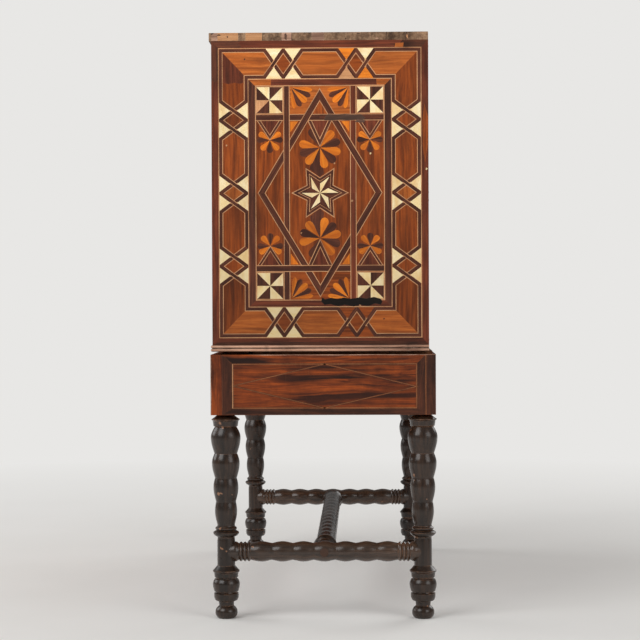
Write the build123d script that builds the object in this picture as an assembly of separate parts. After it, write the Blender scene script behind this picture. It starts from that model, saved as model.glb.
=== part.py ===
"""A vargueno: an inlaid fall-front cabinet on a bobbin-turned stand.

Lengths are millimetres. X runs along the length of the cabinet, the front faces -Y and Z points up.
The origin is the middle of the footprint on the floor. Each piece is written to its own STEP file.
"""

import os
from math import hypot

from build123d import *

# Cabinet boards
CASE_LENGTH = 1060.0
CASE_DEPTH = 434.0
CASE_HEIGHT = 638.0
TOP_THICKNESS = 16.0
TOP_FRONT_OVERHANG = 5.0
TOP_CORNER_RADIUS = 4.0
END_THICKNESS = 22.0
BOTTOM_THICKNESS = 20.0
BACK_THICKNESS = 8.0
BACK_BOARDS = 2

# Dovetails between the top and the ends
PIN_END_MARGIN = 27.0
PIN_COUNT = 7
PIN_OUTER_WIDTH = 22.0
PIN_INNER_WIDTH = 28.0

# Double-bead moulding at the foot of the cabinet
MOULDING_HEIGHT = 13.0
MOULDING_PROUD = 3.5
MOULDING_BACKING = 1.2

# Fall front and its hinges
FALL_THICKNESS = 20.0
FALL_GAP = 1.0
HINGE_INSET = 8.0
HINGE_COUNT = 3
HINGE_SPREAD = 760.0
HINGE_LENGTH = 60.0
KNUCKLES = 3
KNUCKLE_GAP = 0.3
KNUCKLE_RADIUS = 3.5
HINGE_PIN_RADIUS = 1.5
HINGE_PIN_CLEARANCE = 0.05
LEAF_THICKNESS = 2.0
LEAF_REACH = 50.0
LEAF_CLEARANCE = 0.1
HINGE_NOTCH_CLEARANCE = 0.8
FLOOR_CLEARANCE = 0.6

# Lock, bolt and key
LOCK_WIDTH = 90.0
LOCK_HEIGHT = 64.0
LOCK_DEPTH = 11.0
LOCK_WALL = 2.0
LOCK_CLEARANCE = 0.2
BOLT_WIDTH = 26.0
BOLT_THICKNESS = 5.0
BOLT_TRAVEL = 8.0
BOLT_CLEARANCE = 0.3
BOLT_TOP_SETBACK = 0.5
KEY_DROP = 41.0
KEY_RADIUS = 3.0
KEY_CLEARANCE = 0.4
KEY_BIT_REACH = 10.0
KEY_BIT_THICKNESS = 2.5
KEY_BIT_LENGTH = 5.0
KEY_NECK = 9.0
KEY_BOW_RADIUS = 12.0
KEY_BOW_HOLE = 7.0
KEY_BOW_THICKNESS = 4.0
BIT_RELIEF = 1.4
PLATE_SIZE = 128.0
PLATE_THICKNESS = 2.0
PLATE_DROP = 4.0
PLATE_SCALLOPS = 3
SCALLOP_RADIUS = 15.0
SCALLOP_OFFSET = 9.0

# Nest of drawers inside the cabinet
NEST_SETBACK = 14.0
UPRIGHT_THICKNESS = 12.0
SHELF_THICKNESS = 10.0
SIDE_BAY_ROWS = 3
CENTRE_DRAWER_HEIGHT = 190.0
DRAWER_CLEARANCE = 1.0
DRAWER_SEAT = 0.3
DRAWER_BACK_SPACE = 20.0
DRAWER_FRONT = 14.0
DRAWER_SIDE = 10.0
DRAWER_BOTTOM = 8.0
PULL_RADIUS = 7.0
PULL_PROUD = 10.0
PULL_NECK_RADIUS = 3.5
PULL_SPIGOT_RADIUS = 2.5
PULL_NECK_LENGTH = 3.0
PULL_SPIGOT_LENGTH = 8.0
PULL_TIP_RADIUS = 2.0
SPIGOT_CLEARANCE = 0.05

# Cupboard door in the centre bay
DOOR_THICKNESS = 14.0
DOOR_CLEARANCE = 1.2
DOOR_EDGE_RADIUS = 6.8
DOOR_PULL_INSET = 26.0
PIVOT_RADIUS = 2.5
PIVOT_CLEARANCE = 0.05
PIVOT_REACH = 7.0
PIVOT_INSERT = 12.0

# Frieze box of the stand
STAND_HEIGHT = 532.0
FRIEZE_HEIGHT = 121.0
FRIEZE_END_OVERHANG = 6.0
FRIEZE_FRONT_OVERHANG = 4.0
FRIEZE_BACK_OVERHANG = 13.0
FRIEZE_FRONT_THICKNESS = 16.0
FRIEZE_END_THICKNESS = 16.0
FRIEZE_BACK_THICKNESS = 14.0
DECK_THICKNESS = 6.0
DECK_END_SETBACK = 24.0
DECK_FRONT_SETBACK = 80.0
DECK_BACK_SETBACK = 6.0
CORNER_BLOCK = 50.0
INNER_STILE_WIDTH = 16.0
MUNTIN_WIDTH = 30.0
TOP_RAIL_HEIGHT = 14.0
BOTTOM_RAIL_HEIGHT = 14.0
RUNNER_WIDTH = 20.0
STAND_DRAWER_DEPTH = 330.0
STAND_DRAWER_FRONT = 16.0
KNOB_RADIUS = 13.0
KNOB_PROUD = 20.0
KNOB_NECK_RADIUS = 7.0
KNOB_SPIGOT_RADIUS = 5.0
KNOB_NECK_LENGTH = 6.0
KNOB_SPIGOT_LENGTH = 13.0
KNOB_TIP_RADIUS = 4.0

# Lopers that carry the open fall
LOPER_OPENING = 30.0
LOPER_HEIGHT = 60.0
LOPER_LENGTH = 300.0
LOPER_CLEARANCE = 1.0
LOPER_SEAT = 0.3
LOPER_PAD_START = 29.0
LOPER_PAD_LENGTH = 42.0
LOPER_PAD_GAP = 0.3
CHANNEL_WALL = 4.0
CHANNEL_FLOOR = 12.0
FINGER_NOTCH_RADIUS = 9.0
FINGER_NOTCH_DEPTH = 7.0

# Turned legs and stretchers
LEG_INSET_FRONT = 28.0
LEG_INSET_BACK = 26.0
LEG_INSET_END = 28.0
LEG_TENON_RADIUS = 10.5
LEG_TENON_LENGTH = 40.0
LEG_JOINT_RADIUS = 18.0
STRETCHER_HEIGHT = 134.0
STRETCHER_TENON_RADIUS = 9.0
TENON_ROOT = 9.0
TENON_CLEARANCE = 0.1
STRETCHER_PLAIN = 26.1
BOBBIN_RADIUS = 20.5
BOBBIN_WAIST = 18.0
END_BOBBINS = 7
RING_LENGTH = 8.0
RING_COUNT = 3
RING_RADIUS = 19.8
RING_GROOVE = 17.6
MEDIAL_RING_OFFSET = 52.0
MEDIAL_RING_LENGTH = 14.0
MEDIAL_RING_RADIUS = 25.0
MEDIAL_BOBBINS = 14
MEDIAL_RING_SHOULDER = 22.0
MEDIAL_TENON_SETBACK = 0.5

# Members of a leg, from the floor up: length, radius at its top, and the fullest radius of a round one
LEG_FOOT_RADIUS = 17.0
LEG_BLOCK_BELOW = 28.0
LEG_BLOCK_ABOVE = 22.0
LEG_FOOT = [
    (26.0, 16.5, 22.5),
    (10.0, 16.5, None),
    (1.0, 21.0, None),
    (15.0, 25.0, None),
    (2.0, 23.2, None),
    (26.0, 23.6, 27.4),
]
LEG_ANKLE_RADIUS = 24.2
LEG_ANKLE_RING = (9.0, 26.4, 27.2)
LEG_ANKLE_CONE = 4.0
LEG_DISCS = [
    (11.0, 23.0, 17.4),
    (9.0, 22.0, 26.2),
    (0.0, 19.0, None),
    (9.0, 18.2, 21.8),
    (3.0, 17.5, None),
]
LEG_BOBBINS = [
    (0.95, 20.0, 22.4),
    (0.97, 22.0, 25.2),
    (0.99, 23.0, 28.0),
    (1.09, 22.0, 30.0),
]
LEG_CAP = [
    (2.0, 26.0, None),
    (13.0, 26.5, 28.6),
    (10.0, 15.0, None),
]
LEG_FULLEST_PLACE = 0.56

# Corners that stand for the curve of a turned member: share of the way to its fullest place, share of its swell
SMALL_SWELL = 4.0
SMALL_CURVE = [(0.5, 1.0)]
LARGE_CURVE = [(0.35, 0.6), (0.75, 1.0)]

# Levels and planes worked out from the sizes above
case_bottom = STAND_HEIGHT + DECK_THICKNESS
case_top = case_bottom + CASE_HEIGHT
top_underside = case_top - TOP_THICKNESS
case_front = -CASE_DEPTH / 2
case_back = CASE_DEPTH / 2
case_right = CASE_LENGTH / 2
back_plane = case_back - BACK_THICKNESS
inside_right = case_right - END_THICKNESS
floor_top = case_bottom + BOTTOM_THICKNESS
fall_inner = case_front + FALL_THICKNESS
fall_top = top_underside - FALL_GAP
fall_right = inside_right - FALL_GAP
hinge_y = case_front + HINGE_INSET
hinge_z = case_bottom + HINGE_INSET
floor_front = hinge_y + hypot(fall_inner - hinge_y, HINGE_INSET) + FLOOR_CLEARANCE
nest_front = fall_inner + NEST_SETBACK
bay_width = (2 * inside_right - 2 * UPRIGHT_THICKNESS) / 3
upright_inner = bay_width / 2
upright_outer = upright_inner + UPRIGHT_THICKNESS
frieze_bottom = STAND_HEIGHT - FRIEZE_HEIGHT
frieze_right = case_right + FRIEZE_END_OVERHANG
frieze_front = case_front - FRIEZE_FRONT_OVERHANG
frieze_back = case_back + FRIEZE_BACK_OVERHANG
frieze_front_inner = frieze_front + FRIEZE_FRONT_THICKNESS
frieze_back_inner = frieze_back - FRIEZE_BACK_THICKNESS
frieze_inner_right = frieze_right - FRIEZE_END_THICKNESS
leg_x = frieze_right - LEG_INSET_END
leg_front_y = frieze_front + LEG_INSET_FRONT
leg_back_y = frieze_back - LEG_INSET_BACK
block_inner = frieze_inner_right - CORNER_BLOCK
outer_stile_inner = block_inner - CHANNEL_WALL
loper_inner = outer_stile_inner - LOPER_OPENING
drawer_outer = loper_inner - INNER_STILE_WIDTH
drawer_inner = MUNTIN_WIDTH / 2
bottom_rail_top = frieze_bottom + BOTTOM_RAIL_HEIGHT
top_rail_bottom = STAND_HEIGHT - TOP_RAIL_HEIGHT
runner_top = bottom_rail_top + DRAWER_CLEARANCE - DRAWER_SEAT
loper_top = STAND_HEIGHT - LOPER_PAD_GAP
loper_bottom = loper_top - LOPER_HEIGHT
loper_seat = loper_bottom - LOPER_SEAT
lock_front = fall_inner - LOCK_DEPTH
bolt_back = fall_inner - LOCK_WALL - BOLT_CLEARANCE
bolt_front = bolt_back - BOLT_THICKNESS
key_z = fall_top - KEY_DROP
bolt_tail = key_z + max(KEY_RADIUS + KEY_CLEARANCE, KEY_BIT_REACH - BOLT_TRAVEL + BIT_RELIEF)
key_tip_y = fall_inner - LOCK_WALL - LOCK_CLEARANCE
key_bow_y = case_front - PLATE_THICKNESS - KEY_NECK
front_extent = key_bow_y - 2 * KEY_BOW_RADIUS
back_extent = max(frieze_back, leg_back_y + max(fullest for _, _, fullest in LEG_BOBBINS))
origin_y = (front_extent + back_extent) / 2


def slab(x0, x1, y0, y1, z0, z1):
    """A board between two corners."""
    centre = Pos((x0 + x1) / 2, (y0 + y1) / 2, (z0 + z1) / 2)
    return centre * Box(abs(x1 - x0), abs(y1 - y0), abs(z1 - z0))


def rod(radius, start, end):
    """A round rod from one point to another."""
    path = Vector(*end) - Vector(*start)
    plane = Plane(origin=start, z_dir=path)
    return extrude(plane * Circle(radius), path.length)


def member_corners(length, start_radius, end_radius, fullest, place):
    """Corners between the two ends of a round member, as radius and height above its foot."""
    curve = SMALL_CURVE if abs(fullest - start_radius) < SMALL_SWELL else LARGE_CURVE
    rising = [(start_radius + (fullest - start_radius) * swell, length * place * share) for share, swell in curve]
    top = length * (1 - place)
    falling = [(end_radius + (fullest - end_radius) * swell, length - top * share) for share, swell in curve]
    return rising + falling[::-1]


def turned(members, start_radius, fullest_place=0.5):
    """A turning about Z: each member is a length, its end radius and a fullest radius or None.

    The fullest radius, or the narrowest of a hollow, comes at the given share of its member's length.
    """
    height = 0.0
    radius = start_radius
    outline = [(0.0, 0.0), (radius, 0.0)]
    for length, end_radius, fullest in members:
        if fullest is not None:
            corners = member_corners(length, radius, end_radius, fullest, fullest_place)
            outline += [(corner, height + rise) for corner, rise in corners]
        height += length
        radius = end_radius
        outline.append((radius, height))
    outline.append((0.0, height))
    return revolve(Plane.XZ * make_face(Polyline(*outline, close=True)), axis=Axis.Z)


def write(name, *solids):
    """Write one node, moved to the shared origin."""
    placed = [Pos(0, -origin_y, 0) * solid for solid in solids]
    shape = placed[0] if len(placed) == 1 else Compound(children=placed)
    export_step(shape, f"parts/{name}.step")


def both_sides(solid):
    """A piece and its mirror image across the middle of the cabinet."""
    return [solid, mirror(solid, about=Plane.YZ)]


# Cabinet carcass


def pin_centres():
    """Places of the dovetail pins along the depth."""
    first = case_front + PIN_END_MARGIN
    pitch = (back_plane - PIN_END_MARGIN - first) / (PIN_COUNT - 1)
    return [first + pitch * i for i in range(PIN_COUNT)]


def dovetail_pins():
    """The pins that stand on the right end board and pass through the top."""
    pins = []
    for y in pin_centres():
        outline = Polyline(
            (inside_right, y - PIN_INNER_WIDTH / 2),
            (case_right, y - PIN_OUTER_WIDTH / 2),
            (case_right, y + PIN_OUTER_WIDTH / 2),
            (inside_right, y + PIN_INNER_WIDTH / 2),
            close=True,
        )
        face = make_face(outline)
        pins.append(extrude(Pos(0, 0, top_underside) * face, TOP_THICKNESS))
    return pins


def end_board():
    """The right end board with its dovetail pins."""
    board = slab(inside_right, case_right, case_front, back_plane, case_bottom, top_underside)
    for pin in dovetail_pins():
        board += pin
    return board


def top_board():
    """The top, with softened corners and the dovetails cut in both ends."""
    front = case_front - TOP_FRONT_OVERHANG
    board = slab(-case_right, case_right, front, case_back, top_underside, case_top)
    board = fillet(board.edges().filter_by(Axis.Z), TOP_CORNER_RADIUS)
    for pin in dovetail_pins():
        for side in both_sides(pin):
            board -= side
    board -= bolt_mortise()
    return board - door_pivots(PIVOT_CLEARANCE)[1]


def bottom_board():
    """The floor of the cabinet, slotted for the fixed hinge leaves."""
    board = slab(-inside_right, inside_right, floor_front, back_plane, case_bottom, floor_top)
    for x in hinge_centres():
        board -= leaf_slot(x)
    return board


def back_boards():
    """The boards that close the back, laid edge to edge."""
    height = (top_underside - case_bottom) / BACK_BOARDS
    boards = []
    for i in range(BACK_BOARDS):
        low = case_bottom + height * i
        boards.append(slab(-case_right, case_right, back_plane, case_back, low, low + height))
    return boards


def moulding_face(plane):
    """Two beads, one above the other, on a thin backing; local x is outward and local y is up."""
    half = MOULDING_HEIGHT / 2
    quarter = half / 2
    lower = ThreePointArc((MOULDING_BACKING, 0), (MOULDING_PROUD, quarter), (MOULDING_BACKING, half))
    upper_proud = MOULDING_PROUD / 2 + MOULDING_BACKING
    upper = ThreePointArc(
        (MOULDING_BACKING, half), (upper_proud, half + quarter), (MOULDING_BACKING, MOULDING_HEIGHT)
    )
    edges = [
        Line((0, 0), (MOULDING_BACKING, 0)),
        lower,
        upper,
        Line((MOULDING_BACKING, MOULDING_HEIGHT), (0, MOULDING_HEIGHT)),
        Line((0, MOULDING_HEIGHT), (0, 0)),
    ]
    return plane * make_face(edges)


def end_moulding():
    """The moulding on the right end, returned round the front edge of the end board."""
    start = Vector(inside_right, case_front, case_bottom)
    corner = Vector(case_right, case_front, case_bottom)
    end = Vector(case_right, case_back, case_bottom)
    path = Polyline(start, corner, end)
    plane = Plane(origin=start, x_dir=(0, -1, 0), z_dir=(-1, 0, 0))
    return sweep(moulding_face(plane), path=path, transition=Transition.RIGHT)


def fall_moulding():
    """The moulding along the foot of the fall."""
    plane = Plane(origin=(fall_right, case_front, case_bottom), x_dir=(0, -1, 0), z_dir=(-1, 0, 0))
    return extrude(moulding_face(plane), 2 * fall_right)


# Nest of drawers


def upright():
    """The right partition of the nest."""
    return slab(upright_inner, upright_outer, nest_front, back_plane, floor_top, top_underside)


def row_height():
    """Clear height of one row in a side bay."""
    return (top_underside - floor_top) / SIDE_BAY_ROWS - SHELF_THICKNESS


def row_floor(row):
    """Top of the shelf that carries a row in a side bay."""
    return floor_top + SHELF_THICKNESS + row * (row_height() + SHELF_THICKNESS)


def side_bay_shelves():
    """The shelves of the right bay, from the floor up."""
    shelves = []
    for row in range(SIDE_BAY_ROWS):
        z = row_floor(row)
        shelf = slab(upright_outer, inside_right, nest_front, back_plane, z - SHELF_THICKNESS, z)
        shelves.append(shelf)
    return shelves


def centre_floors():
    """Tops of the two shelves in the centre bay."""
    low = floor_top + SHELF_THICKNESS
    return [low, low + CENTRE_DRAWER_HEIGHT + SHELF_THICKNESS]


def centre_bay_shelves():
    """The centre shelves; the upper one holds the door's lower pivot."""
    shelves = []
    for z in centre_floors():
        shelf = slab(-upright_inner, upright_inner, nest_front, back_plane, z - SHELF_THICKNESS, z)
        shelves.append(shelf)
    shelves[1] -= door_pivots(PIVOT_CLEARANCE)[0]
    return shelves


def drawer(x0, x1, y0, y1, z0, z1, front, spigot_radius, spigot_length):
    """Front, back, sides and bottom of a drawer, with the pull's hole in its front."""
    inner_bottom = z0 + DRAWER_BOTTOM
    middle_x = (x0 + x1) / 2
    middle_z = (z0 + z1) / 2
    face = slab(x0, x1, y0, y0 + front, z0, z1)
    hole_end = (middle_x, y0 + spigot_length + SPIGOT_CLEARANCE, middle_z)
    face -= rod(spigot_radius + SPIGOT_CLEARANCE, (middle_x, y0, middle_z), hole_end)
    back = slab(x0, x1, y1 - DRAWER_SIDE, y1, inner_bottom, z1)
    left = slab(x0, x0 + DRAWER_SIDE, y0 + front, y1 - DRAWER_SIDE, inner_bottom, z1)
    right = slab(x1 - DRAWER_SIDE, x1, y0 + front, y1 - DRAWER_SIDE, inner_bottom, z1)
    bottom = slab(x0, x1, y0 + front, y1, z0, inner_bottom)
    return [face, back, left, right, bottom]


def nest_drawer(x0, x1, floor, height):
    """A drawer of the nest in a clear cell, with its pull."""
    low = floor + DRAWER_SEAT
    high = floor + height - DRAWER_CLEARANCE
    left = x0 + DRAWER_CLEARANCE
    right = x1 - DRAWER_CLEARANCE
    back = back_plane - DRAWER_BACK_SPACE
    spigot = (PULL_SPIGOT_RADIUS, PULL_SPIGOT_LENGTH)
    boards = drawer(left, right, nest_front, back, low, high, DRAWER_FRONT, *spigot)
    return [*boards, pull((left + right) / 2, nest_front, (low + high) / 2)]


def facing_front(turning, x, y, z):
    """A turning made along Z, laid down to point at the front."""
    return Pos(x, y, z) * Rot(90, 0, 0) * turning


def pull(x, y, z):
    """A small turned pull with its spigot in the wood behind the face at y."""
    members = [
        (PULL_SPIGOT_LENGTH, PULL_SPIGOT_RADIUS, None),
        (0.0, PULL_NECK_RADIUS, None),
        (PULL_NECK_LENGTH, PULL_NECK_RADIUS, None),
        (PULL_PROUD - PULL_NECK_LENGTH, PULL_TIP_RADIUS, PULL_RADIUS),
    ]
    return facing_front(turned(members, PULL_SPIGOT_RADIUS), x, y + PULL_SPIGOT_LENGTH, z)


def door_span():
    """Left and right edges of the cupboard door."""
    return DOOR_CLEARANCE - upright_inner, upright_inner - DOOR_CLEARANCE


def door_levels():
    """Bottom and top edges of the cupboard door."""
    return centre_floors()[1] + DOOR_CLEARANCE, top_underside - DOOR_CLEARANCE


def pivot_place():
    """The door's vertical axis, in the middle of its thickness near its left edge."""
    half = DOOR_THICKNESS / 2
    return door_span()[0] + half, nest_front + half


def door_pivots(clearance):
    """The lower and upper pivot pins, or with a clearance the holes that they turn in."""
    x, y = pivot_place()
    low, high = door_levels()
    reach = DOOR_CLEARANCE + PIVOT_REACH + clearance
    radius = PIVOT_RADIUS + clearance
    lower = rod(radius, (x, y, low - reach), (x, y, low + PIVOT_INSERT))
    upper = rod(radius, (x, y, high - PIVOT_INSERT), (x, y, high + reach))
    return [lower, upper]


def cupboard_door():
    """The door of the centre bay, rounded along its hanging edge."""
    x0, x1 = door_span()
    low, high = door_levels()
    door = slab(x0, x1, nest_front, nest_front + DOOR_THICKNESS, low, high)
    hanging = door.edges().filter_by(Axis.Z).sort_by(Axis.X)[:2]
    door = fillet(hanging, DOOR_EDGE_RADIUS)
    for pin in door_pivots(SPIGOT_CLEARANCE):
        door -= pin
    x, z = door_pull_place()
    hole_end = (x, nest_front + PULL_SPIGOT_LENGTH + SPIGOT_CLEARANCE, z)
    return door - rod(PULL_SPIGOT_RADIUS + SPIGOT_CLEARANCE, (x, nest_front, z), hole_end)


def door_pull_place():
    """Where the pull stands on the door."""
    low, high = door_levels()
    return door_span()[1] - DOOR_PULL_INSET, (low + high) / 2


# Fall front, hinges and lock


def hinge_centres():
    """Places of the hinges along the cabinet."""
    step = HINGE_SPREAD / (HINGE_COUNT - 1)
    return [i * step - HINGE_SPREAD / 2 for i in range(HINGE_COUNT)]


def hinge_half(x, first):
    """One leaf with every second knuckle, its pin along X through the origin and the leaf along +Y."""
    root = KNUCKLE_RADIUS + KNUCKLE_GAP
    half = HINGE_LENGTH / 2
    thin = LEAF_THICKNESS / 2
    width = HINGE_LENGTH / KNUCKLES
    leaf = slab(x - half, x + half, root, LEAF_REACH, -thin, thin)
    for i in range(first, KNUCKLES, 2):
        left = x - half + width * i + KNUCKLE_GAP / 2
        right = left + width - KNUCKLE_GAP
        leaf += rod(KNUCKLE_RADIUS, (left, 0, 0), (right, 0, 0))
        leaf += slab(left, right, 0, root, -thin, thin)
    bore = HINGE_PIN_RADIUS + HINGE_PIN_CLEARANCE
    return leaf - rod(bore, (x - half, 0, 0), (x + half, 0, 0))


def fixed_leaf(x):
    """The half of a hinge that is let into the cabinet floor."""
    return Pos(0, hinge_y, hinge_z) * hinge_half(x, 0)


def moving_leaf(x):
    """The half of a hinge that stands in the fall."""
    return Pos(0, hinge_y, hinge_z) * Rot(90, 0, 0) * hinge_half(x, 1)


def hinge_pin(x):
    """The pin of a hinge."""
    half = HINGE_LENGTH / 2
    return rod(HINGE_PIN_RADIUS, (x - half, hinge_y, hinge_z), (x + half, hinge_y, hinge_z))


def leaf_slot(x):
    """The slot in the floor's front edge for a fixed leaf."""
    half = HINGE_LENGTH / 2 + LEAF_CLEARANCE
    thin = LEAF_THICKNESS / 2 + LEAF_CLEARANCE
    end = hinge_y + LEAF_REACH + LEAF_CLEARANCE
    return slab(x - half, x + half, floor_front, end, hinge_z - thin, hinge_z + thin)


def fall_hinge_cut(x):
    """The notch for the knuckles and the slot for the leaf above them."""
    half = HINGE_LENGTH / 2 + LEAF_CLEARANCE
    thin = LEAF_THICKNESS / 2 + LEAF_CLEARANCE
    wide = HINGE_LENGTH / 2 + HINGE_NOTCH_CLEARANCE
    round_gap = KNUCKLE_RADIUS + HINGE_NOTCH_CLEARANCE
    end = hinge_z + LEAF_REACH + LEAF_CLEARANCE
    notch = slab(x - wide, x + wide, hinge_y - round_gap, fall_inner, case_bottom, hinge_z + round_gap)
    return notch + slab(x - half, x + half, hinge_y - thin, hinge_y + thin, hinge_z, end)


def keyhole(y0, y1):
    """A round hole with a slot below it, cut from y0 to y1."""
    radius = KEY_RADIUS + KEY_CLEARANCE
    half = KEY_BIT_THICKNESS / 2 + KEY_CLEARANCE
    foot = key_z - KEY_BIT_REACH - KEY_CLEARANCE
    return rod(radius, (0, y0, key_z), (0, y1, key_z)) + slab(-half, half, y0, y1, foot, key_z)


def lock_block(clearance):
    """The outer shape of the lock, or with a clearance the mortise it sits in."""
    half = LOCK_WIDTH / 2 + clearance
    low = fall_top - LOCK_HEIGHT - clearance
    return slab(-half, half, lock_front - clearance, fall_inner, low, fall_top)


def fall_front():
    """The fall board, cut for its hinges, lock and key."""
    board = slab(-fall_right, fall_right, case_front, fall_inner, case_bottom, fall_top)
    for x in hinge_centres():
        board -= fall_hinge_cut(x)
    board -= lock_block(LOCK_CLEARANCE)
    return board - keyhole(case_front, lock_front)


def bolt_bar(clearance, low, high):
    """The bolt between two levels, or with a clearance the slot that it slides in."""
    half = BOLT_WIDTH / 2 + clearance
    return slab(-half, half, bolt_front - clearance, bolt_back + clearance, low, high)


def bolt_mortise():
    """The mortise in the underside of the top that takes the shot bolt."""
    return bolt_bar(BOLT_CLEARANCE, top_underside, top_underside + BOLT_TRAVEL)


def lock_case():
    """The iron lock case, open towards the wood, with a slot for the bolt in its top."""
    half = LOCK_WIDTH / 2 - LOCK_WALL
    low = fall_top - LOCK_HEIGHT + LOCK_WALL
    high = fall_top - LOCK_WALL
    hollow = slab(-half, half, lock_front, fall_inner - LOCK_WALL, low, high)
    return lock_block(0) - hollow - bolt_bar(BOLT_CLEARANCE, high, fall_top)


def lock_bolt():
    """The bolt, drawn back below the edge of the fall."""
    return bolt_bar(0, bolt_tail, fall_top - BOLT_TOP_SETBACK)


def lock_plate():
    """The scalloped iron plate round the keyhole."""
    half = PLATE_SIZE / 2
    middle = fall_top - PLATE_DROP - half
    front = case_front - PLATE_THICKNESS
    plate = slab(-half, half, front, case_front, middle - half, middle + half)
    pitch = PLATE_SIZE / PLATE_SCALLOPS
    edge = half + SCALLOP_OFFSET
    for i in range(PLATE_SCALLOPS):
        along = pitch * (i - (PLATE_SCALLOPS - 1) / 2)
        for x, z in [(along, edge), (along, -edge), (edge, along), (-edge, along)]:
            plate -= rod(SCALLOP_RADIUS, (x, front, middle + z), (x, case_front, middle + z))
    return plate - keyhole(front, case_front)


def key():
    """The key, with its bit hanging down in the lock."""
    thin = KEY_BIT_THICKNESS / 2
    bow_thin = KEY_BOW_THICKNESS / 2
    bow_y = key_bow_y - KEY_BOW_RADIUS
    rim = (KEY_BOW_RADIUS - KEY_BOW_HOLE) / 2
    bow = rod(KEY_BOW_RADIUS, (-bow_thin, bow_y, key_z), (bow_thin, bow_y, key_z))
    bow -= rod(KEY_BOW_HOLE, (-bow_thin, bow_y, key_z), (bow_thin, bow_y, key_z))
    stem = rod(KEY_RADIUS, (0, key_bow_y - rim, key_z), (0, key_tip_y, key_z))
    bit_foot = key_z - KEY_BIT_REACH
    bit = slab(-thin, thin, key_tip_y - KEY_BIT_LENGTH, key_tip_y, bit_foot, key_z)
    return bow + stem + bit


# Frieze box of the stand


def frieze_end():
    """The right end of the frieze."""
    low = frieze_bottom
    return slab(frieze_inner_right, frieze_right, frieze_front_inner, frieze_back_inner, low, STAND_HEIGHT)


def front_piece(x0, x1, z0, z1):
    """A piece of the frieze's front frame."""
    return slab(x0, x1, frieze_front, frieze_front_inner, z0, z1)


def frieze_stiles():
    """The outer stiles, each with the short apron below its loper."""
    stile = front_piece(outer_stile_inner, frieze_right, frieze_bottom, STAND_HEIGHT)
    apron_top = loper_bottom - LOPER_CLEARANCE
    apron = front_piece(loper_inner, outer_stile_inner, frieze_bottom, apron_top)
    return both_sides(stile) + both_sides(apron)


def frieze_front_frame():
    """Rails, inner stiles and the muntin between the drawers."""
    bottom_rail = front_piece(-loper_inner, loper_inner, frieze_bottom, bottom_rail_top)
    top_rail = front_piece(-loper_inner, loper_inner, top_rail_bottom, STAND_HEIGHT)
    stile = front_piece(drawer_outer, loper_inner, bottom_rail_top, top_rail_bottom)
    muntin = front_piece(-drawer_inner, drawer_inner, bottom_rail_top, top_rail_bottom)
    return [bottom_rail, top_rail, muntin] + both_sides(stile)


def stand_deck():
    """The thin set-back deck that the cabinet stands on."""
    side = case_right - DECK_END_SETBACK
    front = case_front + DECK_FRONT_SETBACK
    return slab(-side, side, front, frieze_back - DECK_BACK_SETBACK, STAND_HEIGHT, case_bottom)


def leg_places():
    """Name and centre of each leg."""
    places = []
    for side, x in [("right", leg_x), ("left", -leg_x)]:
        places.append((f"{side}_front_leg", x, leg_front_y))
        places.append((f"{side}_back_leg", x, leg_back_y))
    return places


def corner_blocks():
    """The blocks in the frieze's corners, bored for the leg tenons."""
    front = (frieze_front_inner, frieze_front_inner + CORNER_BLOCK)
    back = (frieze_back_inner - CORNER_BLOCK, frieze_back_inner)
    blocks = []
    for (y0, y1), leg_y in [(front, leg_front_y), (back, leg_back_y)]:
        block = slab(block_inner, frieze_inner_right, y0, y1, frieze_bottom, STAND_HEIGHT)
        bore_top = frieze_bottom + LEG_TENON_LENGTH + TENON_CLEARANCE
        foot = (leg_x, leg_y, frieze_bottom)
        bore = rod(LEG_TENON_RADIUS + TENON_CLEARANCE, foot, (leg_x, leg_y, bore_top))
        blocks += both_sides(block - bore)
    return blocks


def inner_strip(x0, x1, z0, z1):
    """A strip that runs from the front frame to the back of the frieze."""
    return slab(x0, x1, frieze_front_inner, frieze_back_inner, z0, z1)


def drawer_runners():
    """Runners below the stand drawers and guides beside them."""
    centre = drawer_inner + RUNNER_WIDTH
    side = loper_inner - CHANNEL_WALL
    runner = inner_strip(drawer_outer - RUNNER_WIDTH, side, frieze_bottom, runner_top)
    guide = inner_strip(drawer_outer, side, runner_top, top_rail_bottom)
    middle = inner_strip(-centre, centre, frieze_bottom, runner_top)
    middle_guide = inner_strip(-drawer_inner, drawer_inner, runner_top, top_rail_bottom)
    return [middle, middle_guide] + both_sides(runner) + both_sides(guide)


def loper_channels():
    """The floor and two walls that each loper slides in."""
    inner = loper_inner - CHANNEL_WALL
    outer = outer_stile_inner + CHANNEL_WALL
    floor = inner_strip(inner, outer, loper_seat - CHANNEL_FLOOR, loper_seat)
    inner_wall = inner_strip(inner, loper_inner, loper_seat, STAND_HEIGHT)
    outer_wall = inner_strip(outer_stile_inner, outer, loper_seat, STAND_HEIGHT)
    return both_sides(floor) + both_sides(inner_wall) + both_sides(outer_wall)


def loper():
    """The right loper, with a finger notch in its end and the pad that meets the open fall."""
    x0 = loper_inner + LOPER_CLEARANCE
    x1 = outer_stile_inner - LOPER_CLEARANCE
    bar = slab(x0, x1, frieze_front, frieze_front + LOPER_LENGTH, loper_bottom, loper_top)
    pad_y = frieze_front + LOPER_PAD_START
    bar += slab(x0, x1, pad_y, pad_y + LOPER_PAD_LENGTH, loper_top, case_bottom - LOPER_PAD_GAP)
    notch_y = frieze_front + FINGER_NOTCH_DEPTH
    notch_z = (loper_bottom + loper_top) / 2
    return bar - rod(FINGER_NOTCH_RADIUS, (x0, notch_y, notch_z), (x1, notch_y, notch_z))


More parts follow.
